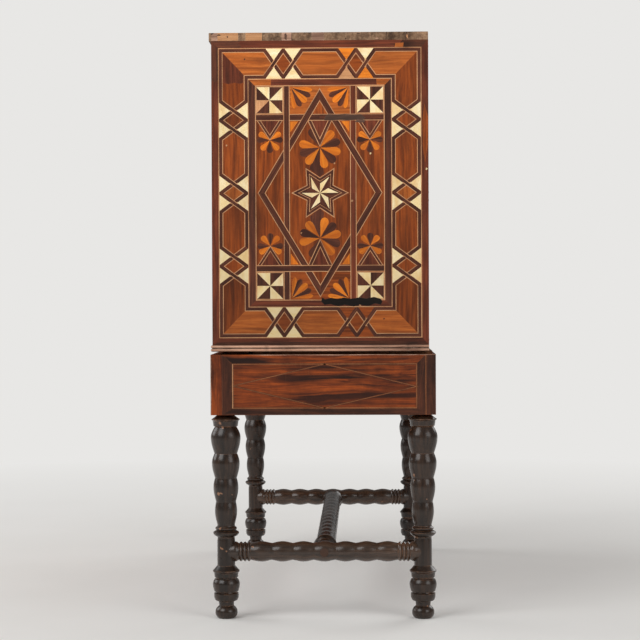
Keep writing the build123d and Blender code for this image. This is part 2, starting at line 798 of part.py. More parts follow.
def stand_drawer():
    """The right drawer of the stand, with its knob."""
    x0 = drawer_inner + DRAWER_CLEARANCE
    x1 = drawer_outer - DRAWER_CLEARANCE
    z0 = bottom_rail_top + DRAWER_CLEARANCE
    z1 = top_rail_bottom - DRAWER_CLEARANCE
    y1 = frieze_front + STAND_DRAWER_DEPTH
    spigot = (KNOB_SPIGOT_RADIUS, KNOB_SPIGOT_LENGTH)
    boards = drawer(x0, x1, frieze_front, y1, z0, z1, STAND_DRAWER_FRONT, *spigot)
    return [*boards, stand_knob((x0 + x1) / 2, (z0 + z1) / 2)]


def stand_knob(x, z):
    """A turned knob on the front of the frieze."""
    members = [
        (KNOB_SPIGOT_LENGTH, KNOB_SPIGOT_RADIUS, None),
        (0.0, KNOB_NECK_RADIUS, None),
        (KNOB_NECK_LENGTH, KNOB_NECK_RADIUS, None),
        (KNOB_PROUD - KNOB_NECK_LENGTH, KNOB_TIP_RADIUS, KNOB_RADIUS),
    ]
    return facing_front(turned(members, KNOB_SPIGOT_RADIUS), x, frieze_front + KNOB_SPIGOT_LENGTH, z)


# Legs and stretchers


def leg(x, y):
    """A bobbin-turned leg, bored for the tenon of its end stretcher."""
    block_bottom = STRETCHER_HEIGHT - LEG_BLOCK_BELOW
    block_length = LEG_BLOCK_BELOW + LEG_BLOCK_ABOVE
    foot_length = sum(length for length, _, _ in LEG_FOOT)
    ankle_length = block_bottom - foot_length - LEG_ANKLE_RING[0] - LEG_ANKLE_CONE
    discs_length = sum(length for length, _, _ in LEG_DISCS)
    cap_length = sum(length for length, _, _ in LEG_CAP)
    bobbins_length = frieze_bottom - cap_length - block_bottom - block_length - discs_length
    shares = sum(share for share, _, _ in LEG_BOBBINS)
    bobbins = [(bobbins_length * share / shares, end, full) for share, end, full in LEG_BOBBINS]
    members = [
        *LEG_FOOT,
        (ankle_length, LEG_ANKLE_RADIUS, None),
        LEG_ANKLE_RING,
        (LEG_ANKLE_CONE, LEG_JOINT_RADIUS, None),
        (block_length, LEG_JOINT_RADIUS, None),
        *LEG_DISCS,
        *bobbins,
        *LEG_CAP,
        (0.0, LEG_TENON_RADIUS, None),
        (LEG_TENON_LENGTH, LEG_TENON_RADIUS, None),
    ]
    inward = LEG_JOINT_RADIUS if y < 0 else -LEG_JOINT_RADIUS
    bore = rod(
        STRETCHER_TENON_RADIUS + TENON_CLEARANCE,
        (0, 0, STRETCHER_HEIGHT),
        (0, inward, STRETCHER_HEIGHT),
    )
    return Pos(x, y, 0) * (turned(members, LEG_FOOT_RADIUS, LEG_FULLEST_PLACE) - bore)


def end_stretcher():
    """The right end stretcher, coped and tenoned to its legs and bored for the long stretcher."""
    length = leg_back_y - leg_front_y
    rings = [(RING_LENGTH, RING_GROOVE, RING_RADIUS)] * RING_COUNT
    turned_length = length - 2 * (STRETCHER_PLAIN + RING_LENGTH * RING_COUNT)
    bobbins = [(turned_length / END_BOBBINS, BOBBIN_WAIST, BOBBIN_RADIUS)] * END_BOBBINS
    members = [
        (STRETCHER_PLAIN, LEG_JOINT_RADIUS, None),
        (0.0, RING_GROOVE, None),
        *rings,
        (0.0, BOBBIN_WAIST, None),
        *bobbins,
        (0.0, RING_GROOVE, None),
        *rings,
        (0.0, LEG_JOINT_RADIUS, None),
        (STRETCHER_PLAIN, LEG_JOINT_RADIUS, None),
    ]
    bar = Rot(-90, 0, 0) * turned(members, LEG_JOINT_RADIUS)
    cope = LEG_JOINT_RADIUS + TENON_CLEARANCE
    for y, direction in [(0.0, 1), (length, -1)]:
        inward = cope * direction
        tip = y + TENON_CLEARANCE * direction
        bar -= rod(cope, (0, y, -cope), (0, y, cope))
        bar += rod(STRETCHER_TENON_RADIUS, (0, tip, 0), (0, y + inward + TENON_ROOT * direction, 0))
    middle = length / 2
    through = STRETCHER_TENON_RADIUS + TENON_CLEARANCE
    clear = 2 * BOBBIN_RADIUS
    bar -= rod(through, (-clear, middle, 0), (clear, middle, 0))
    return Pos(leg_x, leg_front_y, STRETCHER_HEIGHT) * bar


def medial_stretcher():
    """The long stretcher, its tenons passing through the middles of the end stretchers."""
    length = 2 * leg_x
    ring = [
        (0.0, MEDIAL_RING_SHOULDER, None),
        (MEDIAL_RING_LENGTH, MEDIAL_RING_SHOULDER, MEDIAL_RING_RADIUS),
        (0.0, BOBBIN_WAIST, None),
    ]
    turned_length = length - 2 * (MEDIAL_RING_OFFSET + MEDIAL_RING_LENGTH)
    bobbins = [(turned_length / MEDIAL_BOBBINS, BOBBIN_WAIST, BOBBIN_RADIUS)] * MEDIAL_BOBBINS
    neck = (MEDIAL_RING_OFFSET, BOBBIN_WAIST, None)
    bar = Rot(0, 90, 0) * turned([neck, *ring, *bobbins, *ring, neck], BOBBIN_WAIST)
    cope = BOBBIN_RADIUS + TENON_CLEARANCE
    reach = BOBBIN_RADIUS - MEDIAL_TENON_SETBACK
    for x, outward in [(0.0, -1), (length, 1)]:
        bar -= rod(cope, (x, -cope, 0), (x, cope, 0))
        root = x - (cope + TENON_ROOT) * outward
        bar += rod(STRETCHER_TENON_RADIUS, (root, 0, 0), (x + reach * outward, 0, 0))
    return Pos(-leg_x, (leg_front_y + leg_back_y) / 2, STRETCHER_HEIGHT) * bar


def write_case():
    """Write the cabinet's carcass."""
    right_end, left_end = both_sides(end_board())
    right_moulding, left_moulding = both_sides(end_moulding())
    write("top_board", top_board())
    write("bottom_board", bottom_board())
    write("right_end_board", right_end)
    write("left_end_board", left_end)
    write("back_boards", *back_boards())
    write("right_end_moulding", right_moulding)
    write("left_end_moulding", left_moulding)


def write_nest():
    """Write the partitions, drawers and door behind the fall."""
    right_upright, left_upright = both_sides(upright())
    shelves = side_bay_shelves()
    write("right_upright", right_upright)
    write("left_upright", left_upright)
    write("right_bay_shelves", *shelves)
    write("left_bay_shelves", *[mirror(shelf, about=Plane.YZ) for shelf in shelves])
    write("centre_bay_shelves", *centre_bay_shelves())
    for side, x0, x1 in [("right", upright_outer, inside_right), ("left", -inside_right, -upright_outer)]:
        for row in range(SIDE_BAY_ROWS):
            write(f"{side}_drawer_{row + 1}", *nest_drawer(x0, x1, row_floor(row), row_height()))
    floor = centre_floors()[0]
    write("centre_drawer", *nest_drawer(-upright_inner, upright_inner, floor, CENTRE_DRAWER_HEIGHT))
    pull_x, pull_z = door_pull_place()
    write("cupboard_door", cupboard_door(), pull(pull_x, nest_front, pull_z))
    write("cupboard_door_pivots", *door_pivots(0))


def write_fall():
    """Write the fall front with its hinges and lock."""
    centres = hinge_centres()
    write("fall_front", fall_front())
    write("fall_moulding", fall_moulding())
    write("hinge_fixed_leaves", *[fixed_leaf(x) for x in centres])
    write("hinge_moving_leaves", *[moving_leaf(x) for x in centres])
    write("hinge_pins", *[hinge_pin(x) for x in centres])
    write("lock_plate", lock_plate())
    write("lock_case", lock_case())
    write("lock_bolt", lock_bolt())
    write("key", key())


def write_stand():
    """Write the frieze box, its drawers and the lopers."""
    right_end, left_end = both_sides(frieze_end())
    write("right_frieze_end", right_end)
    write("left_frieze_end", left_end)
    back = slab(-frieze_right, frieze_right, frieze_back_inner, frieze_back, frieze_bottom, STAND_HEIGHT)
    write("frieze_back", back)
    write("frieze_stiles", *frieze_stiles())
    write("frieze_front_frame", *frieze_front_frame())
    write("stand_deck", stand_deck())
    write("corner_blocks", *corner_blocks())
    write("drawer_runners", *drawer_runners())
    write("loper_channels", *loper_channels())
    right_loper, left_loper = both_sides(loper())
    write("right_loper", right_loper)
    write("left_loper", left_loper)
    pieces = stand_drawer()
    write("right_stand_drawer", *pieces)
    write("left_stand_drawer", *[mirror(piece, about=Plane.YZ) for piece in pieces])


def write_legs():
    """Write the turned legs and stretchers."""
    for name, x, y in leg_places():
        write(name, leg(x, y))
    right, left = both_sides(end_stretcher())
    write("right_end_stretcher", right)
    write("left_end_stretcher", left)
    write("medial_stretcher", medial_stretcher())


os.makedirs("parts", exist_ok=True)
write_case()
write_nest()
write_fall()
write_stand()
write_legs()
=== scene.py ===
"""Looks of an inlaid fall-front cabinet on its turned stand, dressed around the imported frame."""
import logging
import math
import random
from dataclasses import dataclass, field, replace
from enum import Enum

import bmesh
import bpy
from mathutils import Matrix, Vector


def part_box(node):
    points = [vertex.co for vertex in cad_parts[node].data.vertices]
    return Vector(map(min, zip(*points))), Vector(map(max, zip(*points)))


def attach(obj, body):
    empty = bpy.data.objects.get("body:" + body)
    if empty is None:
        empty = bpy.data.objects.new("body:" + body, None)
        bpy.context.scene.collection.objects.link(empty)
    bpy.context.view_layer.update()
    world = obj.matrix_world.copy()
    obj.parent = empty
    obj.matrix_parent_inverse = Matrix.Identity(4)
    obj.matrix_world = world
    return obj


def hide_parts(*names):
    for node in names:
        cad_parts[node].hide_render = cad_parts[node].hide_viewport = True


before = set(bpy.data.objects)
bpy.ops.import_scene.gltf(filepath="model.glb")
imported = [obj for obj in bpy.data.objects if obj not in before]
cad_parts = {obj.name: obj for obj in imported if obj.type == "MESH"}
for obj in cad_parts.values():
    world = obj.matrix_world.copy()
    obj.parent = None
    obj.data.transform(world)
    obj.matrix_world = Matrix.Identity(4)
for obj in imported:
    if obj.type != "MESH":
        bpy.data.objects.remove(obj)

logging.basicConfig(level=logging.INFO, format="%(message)s")
log = logging.getLogger("cabinet")

MM = 0.001
Point = tuple[float, float]
Triple = tuple[float, float, float]
Colour = tuple[float, float, float, float]
Piece = bpy.types.Object
Material = bpy.types.Material
NodeTree = bpy.types.NodeTree
Socket = bpy.types.NodeSocket

# Shader values that every wood shares
DIRT_SHARE = 0.28
CHIP_SIZE = 34.0
CHIP_EDGE = (0.69, 0.71)
SCRATCH_SHOW = 0.25
COAT_ROUGHNESS = 0.3
WOOD_IOR = 1.45

# Veneers smaller than this, in square millimetres, are left out
SLIVER = 0.4
# Height over which a face's painted light is counted, in millimetres: veneers are laid lighter
# towards the top and darker towards the bottom, as if lit from above
PAINTED_LIGHT_REACH = 300
# Corners closer than this, in metres, are one
MERGE = 1e-6


def srgb(red: int, green: int, blue: int) -> Colour:
    """Turn an everyday 0 to 255 colour into the linear one that shaders use.

    Args:
        red: red, 0 to 255.
        green: green, 0 to 255.
        blue: blue, 0 to 255.

    Returns:
        The linear colour with full alpha.
    """
    def linear(value: int) -> float:
        """Undo the display curve of one channel."""
        share = value / 255
        return share / 12.92 if share <= 0.04045 else ((share + 0.055) / 1.055) ** 2.4
    return linear(red), linear(green), linear(blue), 1.0


class Tree:
    """Places nodes in a node tree and joins them."""

    def __init__(self, tree: NodeTree) -> None:
        """Hold the tree that nodes go into."""
        self.tree = tree

    def add(self, kind: str, inputs: dict | None = None, **settings: object) -> bpy.types.Node:
        """Add one node.

        Args:
            kind: the node's Blender type.
            inputs: values or sockets for its inputs, by name or number.
            settings: the node's own properties.

        Returns:
            The new node.
        """
        node = self.tree.nodes.new(kind)
        for key, value in settings.items():
            setattr(node, key, value)
        for key, value in (inputs or {}).items():
            if isinstance(value, Socket):
                self.tree.links.new(value, node.inputs[key])
            else:
                node.inputs[key].default_value = value
        return node

    def math(self, operation: str, a: object, b: object = 0.0, clamp: bool = False) -> Socket:
        """Add a Math node and return its value."""
        return self.add(
            "ShaderNodeMath", {0: a, 1: b}, operation=operation, use_clamp=clamp
        ).outputs[0]

    def times(self, a: object, b: object, clamp: bool = False) -> Socket:
        """Multiply two values."""
        return self.math("MULTIPLY", a, b, clamp)

    def scaled(self, vector: object, factors: object) -> Socket:
        """Multiply a vector by another, part by part."""
        return self.add(
            "ShaderNodeVectorMath", {0: vector, 1: factors}, operation="MULTIPLY"
        ).outputs[0]

    def resized(self, vector: object, factor: object) -> Socket:
        """Multiply a vector by one number."""
        return self.add(
            "ShaderNodeVectorMath", {0: vector, "Scale": factor}, operation="SCALE"
        ).outputs[0]

    def noise(
        self, vector: object, scale: float, detail: float = 3.0, rough: float = 0.55
    ) -> Socket:
        """Add a noise texture and return its value."""
        inputs = {"Vector": vector, "Scale": scale, "Detail": detail, "Roughness": rough}
        return self.add("ShaderNodeTexNoise", inputs).outputs["Fac"]

    def band(
        self, value: object, low: float, high: float, to_low: float = 0.0, to_high: float = 1.0
    ) -> Socket:
        """Stretch the part of a value between two levels over another range, clamped."""
        inputs = {
            "Value": value, "From Min": low, "From Max": high, "To Min": to_low, "To Max": to_high
        }
        return self.add("ShaderNodeMapRange", inputs).outputs[0]

    def mix(self, share: object, a: object, b: object, blend: str = "MIX") -> Socket:
        """Mix two colours and return the result."""
        node = self.add(
            "ShaderNodeMix", {"Factor": share, 6: a, 7: b}, data_type="RGBA", blend_type=blend
        )
        return node.outputs[2]

    def group(self, group: NodeTree, inputs: dict) -> bpy.types.bpy_prop_collection:
        """Place a node group with its own values and return its outputs."""
        return self.add("ShaderNodeGroup", inputs, node_tree=group).outputs


def blank_material(name: str) -> tuple[Material, Tree]:
    """Start a material with no nodes.

    Args:
        name: the material's name.

    Returns:
        The material and its tree helper.
    """
    made = bpy.data.materials.new(name)
    made.use_nodes = True
    made.node_tree.nodes.clear()
    return made, Tree(made.node_tree)


def linked(name: str, data: bpy.types.ID) -> Piece:
    """Put data into the scene as an object.

    Args:
        name: the object's name.
        data: its mesh, lamp or camera.

    Returns:
        The new object.
    """
    made = bpy.data.objects.new(name, data)
    bpy.context.scene.collection.objects.link(made)
    return made


def shader_group(
    name: str, inputs: dict[str, tuple[str, object]], outputs: dict[str, str]
) -> tuple[NodeTree, Tree, bpy.types.bpy_prop_collection]:
    """Start a shader node group with named sockets.

    Args:
        name: the group's name.
        inputs: socket type and first value of each input, by name.
        outputs: socket type of each output, by name.

    Returns:
        The group, its tree helper and what its input node gives.
    """
    group = bpy.data.node_groups.new(name, "ShaderNodeTree")
    for label, (kind, value) in inputs.items():
        socket = group.interface.new_socket(label, in_out="INPUT", socket_type=kind)
        if value is not None:
            socket.default_value = value
    for label, kind in outputs.items():
        group.interface.new_socket(label, in_out="OUTPUT", socket_type=kind)
    tree = Tree(group)
    return group, tree, tree.add("NodeGroupInput").outputs


FLOAT = "NodeSocketFloat"
VECTOR = "NodeSocketVector"
COLOUR = "NodeSocketColor"


class Effects:
    """The shared effects, each one a node group made once."""

    def __init__(self) -> None:
        """Make every group."""
        self.grain = self._grain()
        self.wear = self._wear()
        self.grime = self._grime()
        self.scratches = self._scratches()

    def _grain(self) -> NodeTree:
        """Fibres, streaks and pores of a board, along the first axis of its vector.

        Returns:
            The node group.
        """
        sockets = {
            "Vector": (VECTOR, None), "Along": (FLOAT, 12.0), "Across": (FLOAT, 260.0),
            "Figure": (FLOAT, 0.4), "Streaks": (FLOAT, 0.5), "Light": (COLOUR, None),
            "Middle": (COLOUR, None), "Dark": (COLOUR, None),
        }
        group, tree, given = shader_group(
            "wood_grain", sockets, {"Colour": COLOUR, "Height": FLOAT}
        )
        spread = tree.add(
            "ShaderNodeCombineXYZ", {0: given["Along"], 1: given["Across"], 2: given["Across"]}
        )
        along = tree.scaled(given["Vector"], spread.outputs[0])
        drift = tree.add("ShaderNodeTexNoise", {
            "Vector": tree.scaled(along, (0.5, 0.06, 0.06)), "Scale": 1.0, "Detail": 2.0
        })
        pull = tree.scaled(drift.outputs["Color"], (0.0, 9.0, 9.0))
        figured = tree.resized(pull, given["Figure"])
        bent = tree.add("ShaderNodeVectorMath", {0: along, 1: figured}, operation="ADD").outputs[0]
        fibres = tree.noise(bent, 1.0, 5.0, 0.62)
        streaks = tree.noise(tree.scaled(bent, (0.35, 0.16, 0.16)), 1.0, 3.0)
        clouds = tree.noise(tree.scaled(bent, (0.25, 0.03, 0.03)), 1.0, 2.0)
        pores = tree.noise(tree.scaled(bent, (1.7, 2.6, 2.6)), 1.0, 2.0)
        bars = tree.noise(tree.scaled(bent, (0.55, 0.42, 0.42)), 1.0, 2.0, 0.5)
        body = tree.mix(tree.band(fibres, 0.36, 0.64), given["Middle"], given["Light"])
        barred = tree.mix(tree.times(tree.band(bars, 0.5, 0.66), 0.55), body, given["Dark"])
        lines = tree.times(tree.band(streaks, 0.52, 0.64), given["Streaks"], True)
        streaked = tree.mix(lines, barred, given["Dark"])
        shaded = tree.mix(tree.band(clouds, 0.35, 0.75, 0.0, 0.45), streaked, given["Middle"])
        pore_marks = tree.band(pores, 0.66, 0.72, 0.0, 0.55)
        colour = tree.mix(pore_marks, shaded, given["Dark"])
        height = tree.math("SUBTRACT", tree.times(fibres, 0.5), tree.times(pore_marks, 0.9))
        tree.add("NodeGroupOutput", {"Colour": colour, "Height": height})
        return group

    def _wear(self) -> NodeTree:
        """Mask of rubbed edges, broken up by noise.

        Returns:
            The node group.
        """
        sockets = {"Vector": (VECTOR, None), "Radius": (FLOAT, 0.0015), "Amount": (FLOAT, 0.5)}
        group, tree, given = shader_group("edge_wear", sockets, {"Mask": FLOAT})
        rounded = tree.add("ShaderNodeBevel", {"Radius": given["Radius"]}, samples=4)
        facing = tree.add("ShaderNodeNewGeometry").outputs["Normal"]
        likeness = tree.add(
            "ShaderNodeVectorMath", {0: rounded.outputs[0], 1: facing}, operation="DOT_PRODUCT"
        ).outputs["Value"]
        edge = tree.band(likeness, 0.995, 0.86)
        patchy = tree.band(tree.noise(given["Vector"], 45.0, 6.0, 0.7), 0.42, 0.62)
        mask = tree.times(tree.times(edge, patchy), given["Amount"], True)
        tree.add("NodeGroupOutput", {"Mask": mask})
        return group

    def _grime(self) -> NodeTree:
        """Soft mask of dirt and darkened wax.

        Returns:
            The node group.
        """
        group, tree, given = shader_group(
            "grime", {"Vector": (VECTOR, None), "Size": (FLOAT, 9.0)}, {"Mask": FLOAT}
        )
        sized = tree.resized(given["Vector"], given["Size"])
        broad = tree.noise(sized, 1.0, 6.0, 0.66)
        specks = tree.noise(sized, 22.0, 3.0, 0.6)
        mask = tree.math(
            "ADD", tree.band(broad, 0.45, 0.75), tree.band(specks, 0.68, 0.8, 0.0, 0.5), True
        )
        tree.add("NodeGroupOutput", {"Mask": mask})
        return group

    def _scratches(self) -> NodeTree:
        """Mask of fine hairline scratches in two directions.

        Returns:
            The node group.
        """
        group, tree, given = shader_group("scratches", {"Vector": (VECTOR, None)}, {"Mask": FLOAT})
        first = tree.noise(tree.scaled(given["Vector"], (900.0, 900.0, 22.0)), 1.0, 1.0)
        second = tree.noise(tree.scaled(given["Vector"], (30.0, 30.0, 700.0)), 1.0, 1.0)
        where = tree.band(tree.noise(given["Vector"], 14.0, 2.0), 0.5, 0.7)
        lines = tree.math("ADD", tree.band(first, 0.72, 0.78), tree.band(second, 0.74, 0.8), True)
        tree.add("NodeGroupOutput", {"Mask": tree.times(lines, where)})
        return group


class Axis(Enum):
    """Which way a board's grain runs, or whether its piece carries its own map."""

    X = "x"
    Y = "y"
    Z = "z"
    MAP = "map"


@dataclass(frozen=True)
class WoodFinish:
    """One wood and how it is finished."""

    name: str
    light: Colour
    middle: Colour
    dark: Colour
    worn: Colour
    grain: Axis = Axis.MAP
    along: float = 12.0
    across: float = 260.0
    figure: float = 0.4
    streaks: float = 0.5
    gloss: float = 0.45
    coat: float = 0.03
    specular: float = 0.26
    wear: float = 0.5
    wear_radius: float = 0.0015
    dirt: float = 0.35
    dirt_size: float = 9.0
    chips: float = 0.0
    relief: float = 0.00012

    def material(self, effects: Effects) -> Material:
        """Build the material.

        Args:
            effects: the shared node groups.

        Returns:
            The finished material.
        """
        made, tree = blank_material(self.name)
        place = tree.add("ShaderNodeTexCoord").outputs["Object"]
        grain = tree.group(effects.grain, {
            "Vector": self._run(tree, place), "Along": self.along, "Across": self.across,
            "Figure": self.figure, "Streaks": self.streaks,
            "Light": self.light, "Middle": self.middle, "Dark": self.dark,
        })
        wear = tree.group(
            effects.wear, {"Vector": place, "Radius": self.wear_radius, "Amount": self.wear}
        )[0]
        grime = tree.group(effects.grime, {"Vector": place, "Size": self.dirt_size})[0]
        scratches = tree.group(effects.scratches, {"Vector": place})[0]
        tone = tree.math(
            "ADD", 1.0, tree.add("ShaderNodeAttribute", attribute_name="tone").outputs["Fac"]
        )
        grey = tree.add("ShaderNodeCombineColor", {0: tone, 1: tone, 2: tone}).outputs[0]
        toned = tree.mix(1.0, grain["Colour"], grey, "MULTIPLY")
        soot = tuple(part * DIRT_SHARE for part in self.dark[:3]) + (1.0,)
        dirty = tree.mix(tree.times(grime, self.dirt), toned, soot)
        chipped = tree.band(tree.noise(place, CHIP_SIZE, 3.0), *CHIP_EDGE, 0.0, self.chips)
        worn = tree.mix(tree.math("ADD", wear, chipped, True), dirty, self.worn)
        marked = tree.mix(tree.times(scratches, SCRATCH_SHOW), worn, self.worn)
        fibre_gloss = tree.band(grain["Height"], -0.4, 0.5, self.gloss + 0.12, self.gloss - 0.05)
        rough = tree.math("ADD", tree.times(grime, 0.22), fibre_gloss)
        rougher = tree.math("ADD", rough, tree.times(wear, 0.25), True)
        height = tree.math("SUBTRACT", grain["Height"], tree.times(scratches, 0.4))
        bump = tree.add(
            "ShaderNodeBump", {"Height": height, "Distance": self.relief, "Strength": 0.8}
        )
        shader = tree.add("ShaderNodeBsdfPrincipled", {
            "Base Color": marked, "Roughness": rougher, "Normal": bump.outputs[0],
            "Coat Weight": self.coat, "Coat Roughness": COAT_ROUGHNESS,
            "IOR": WOOD_IOR, "Specular IOR Level": self.specular,
        })
        tree.add("ShaderNodeOutputMaterial", {0: shader.outputs[0]})
        return made

    def _run(self, tree: Tree, place: Socket) -> Socket:
        """Return the vector whose first axis runs along the grain.

        Args:
            tree: the material's nodes.
            place: the object's own coordinates.

        Returns:
            The vector.
        """
        if self.grain is Axis.MAP:
            return tree.add("ShaderNodeUVMap", uv_map="grain").outputs[0]
        parts = tree.add("ShaderNodeSeparateXYZ", {0: place}).outputs
        order = {Axis.X: (0, 1, 2), Axis.Y: (1, 2, 0), Axis.Z: (2, 0, 1)}[self.grain]
        return tree.add(
            "ShaderNodeCombineXYZ", {i: parts[source] for i, source in enumerate(order)}
        ).outputs[0]


class Wood(Enum):
    """Every finish that a piece of the cabinet may take."""

    ROSEWOOD = "rosewood"
    REDWOOD = "red_rosewood"
    DARK = "dark_strap_wood"
    ORANGE = "orange_wood"
    BONE = "bone"
    STRING = "pale_string"
    FINE_STRING = "brown_string"
    SCORCH = "scorched_wood"
    FRIEZE = "frieze_figure"
    AMBER = "amber_veneer"
    SMOKED = "smoked_veneer"
    BEAD = "worn_bead_wood"
    TOP = "weathered_top"
    BACK = "raw_back"
    INNER = "inner_wood"
    DRAWER = "drawer_sides"
    BAND = "case_band"
    TURNED = "black_turned_wood"
    RUBBED = "rubbed_turned_wood"


# What every turned piece has in common
LATHE = dict(
    grain=Axis.Z, along=8, across=200, figure=0.3, streaks=0.5, specular=0.4, wear=0.8,
    wear_radius=0.0024, dirt=0.45, chips=0.7, relief=0.0002
)

# Each wood with its light, middle, dark and worn colours and what sets its finish apart
WOOD_TABLE = (
    (
        Wood.ROSEWOOD, ((178, 88, 32), (136, 62, 22), (62, 29, 15), (192, 124, 78)),
        dict(streaks=0.55, figure=0.5)
    ),
    (
        Wood.REDWOOD, ((138, 68, 42), (102, 48, 31), (50, 26, 18), (176, 108, 72)),
        dict(streaks=0.55)
    ),
    (
        Wood.DARK, ((110, 60, 41), (80, 43, 31), (42, 24, 18), (146, 94, 64)),
        dict(streaks=0.5, across=320)
    ),
    (
        Wood.ORANGE, ((240, 140, 40), (218, 112, 26), (150, 66, 22), (240, 176, 98)),
        dict(streaks=0.3)
    ),
    (
        Wood.BONE, ((254, 236, 194), (248, 220, 160), (228, 176, 102), (255, 244, 214)),
        dict(
            streaks=0.08, along=30, across=90, figure=0.2, gloss=0.36, wear=0.2, dirt=0.14,
            relief=0.00006
        )
    ),
    (
        Wood.STRING, ((226, 170, 122), (202, 142, 96), (128, 78, 50), (234, 196, 150)),
        dict(streaks=0.35, dirt=0.35)
    ),
    (
        Wood.FINE_STRING, ((170, 104, 60), (138, 80, 44), (76, 42, 26), (190, 132, 88)),
        dict(streaks=0.4, dirt=0.5)
    ),
    (
        Wood.SCORCH, ((104, 76, 62), (72, 51, 42), (32, 24, 20), (122, 96, 78)),
        dict(streaks=0.6, gloss=0.6, coat=0.0, across=150)
    ),
    (
        Wood.FRIEZE, ((166, 78, 28), (112, 48, 21), (34, 20, 16), (190, 122, 76)),
        dict(streaks=0.95, figure=0.9, along=10, across=280, dirt=0.8)
    ),
    (Wood.AMBER, ((206, 116, 50), (170, 86, 32), (98, 46, 20), (208, 144, 90)), dict(streaks=0.4)),
    (
        Wood.SMOKED, ((100, 54, 34), (68, 38, 27), (30, 19, 15), (150, 96, 62)),
        dict(streaks=0.7, figure=0.8, dirt=0.6)
    ),
    (
        Wood.BEAD, ((216, 174, 148), (182, 138, 114), (92, 56, 42), (236, 200, 176)),
        dict(grain=Axis.Y, streaks=0.45, wear=0.95, dirt=0.5, gloss=0.55, coat=0.02)
    ),
    (
        Wood.TOP, ((170, 138, 108), (130, 98, 75), (58, 41, 32), (198, 170, 138)),
        dict(
            grain=Axis.X, along=9, across=240, figure=0.6, streaks=0.7, gloss=0.72, coat=0.0,
            wear=0.6, dirt=0.65, relief=0.0003
        )
    ),
    (
        Wood.BACK, ((140, 102, 72), (108, 74, 51), (50, 34, 25), (164, 128, 96)),
        dict(
            grain=Axis.X, along=7, across=170, figure=0.7, streaks=0.6, gloss=0.78, coat=0.0,
            wear=0.5, dirt=0.6, relief=0.0003
        )
    ),
    (
        Wood.INNER, ((142, 92, 56), (110, 66, 40), (54, 32, 21), (170, 122, 84)),
        dict(grain=Axis.X, streaks=0.5, gloss=0.62, coat=0.02, dirt=0.45)
    ),
    (
        Wood.DRAWER, ((162, 112, 68), (128, 82, 48), (68, 40, 25), (184, 138, 94)),
        dict(grain=Axis.Y, streaks=0.45, gloss=0.6, coat=0.03, dirt=0.4)
    ),
    (
        Wood.BAND, ((120, 58, 36), (90, 40, 27), (42, 21, 16), (170, 108, 74)),
        dict(grain=Axis.Z, streaks=0.55)
    ),
    (
        Wood.TURNED, ((66, 47, 35), (41, 29, 22), (15, 12, 9), (164, 118, 88)),
        dict(LATHE, gloss=0.2, coat=0.32)
    ),
    # A lighter copy of the turned wood for the end stretchers: painted light, as if lit from above
    (
        Wood.RUBBED, ((92, 69, 54), (62, 46, 36), (24, 18, 14), (164, 118, 88)),
        dict(LATHE, gloss=0.16, coat=0.5)
    ),
)
WOODS = {
    wood: WoodFinish(wood.value, *(srgb(*colour) for colour in colours), **details)
    for wood, colours, details in WOOD_TABLE
}


@dataclass(frozen=True)
class IronFinish:
    """Forged iron, dark in its hollows and bright where it is handled."""

    name: str = "forged_iron"
    bright: Colour = srgb(128, 116, 104)
    dark: Colour = srgb(46, 40, 38)
    rust: Colour = srgb(104, 58, 34)
    hammer: float = 160.0
    pits: float = 900.0
    lift: float = 1.7
    rust_size: float = 40.0
    wear: float = 0.9
    wear_radius: float = 0.0008
    relief: float = 0.0004

    def material(self, effects: Effects) -> Material:
        """Build the material.

        Args:
            effects: the shared node groups.

        Returns:
            The finished material.
        """
        made, tree = blank_material(self.name)
        place = tree.add("ShaderNodeTexCoord").outputs["Object"]
        wear = tree.group(
            effects.wear, {"Vector": place, "Radius": self.wear_radius, "Amount": self.wear}
        )[0]
        grime = tree.group(effects.grime, {"Vector": place, "Size": self.rust_size})[0]
        hammered = tree.noise(place, self.hammer, 2.0)
        pitted = tree.noise(place, self.pits, 3.0)
        hollow = tuple(part * self.lift for part in self.dark[:3]) + (1.0,)
        base = tree.mix(tree.band(hammered, 0.35, 0.7), self.dark, hollow)
        rusty = tree.mix(tree.times(grime, 0.6), base, self.rust)
        worn = tree.mix(wear, rusty, self.bright)
        rough = tree.band(hammered, 0.3, 0.7, 0.5, 0.36)
        height = tree.math("ADD", hammered, tree.times(pitted, 0.25))
        bump = tree.add(
            "ShaderNodeBump", {"Height": height, "Distance": self.relief, "Strength": 0.7}
        )
        metal = tree.math("SUBTRACT", 0.9, tree.times(grime, 0.4))
        shader = tree.add("ShaderNodeBsdfPrincipled", {
            "Base Color": worn, "Roughness": rough, "Metallic": metal, "Normal": bump.outputs[0],
        })
        tree.add("ShaderNodeOutputMaterial", {0: shader.outputs[0]})
        return made


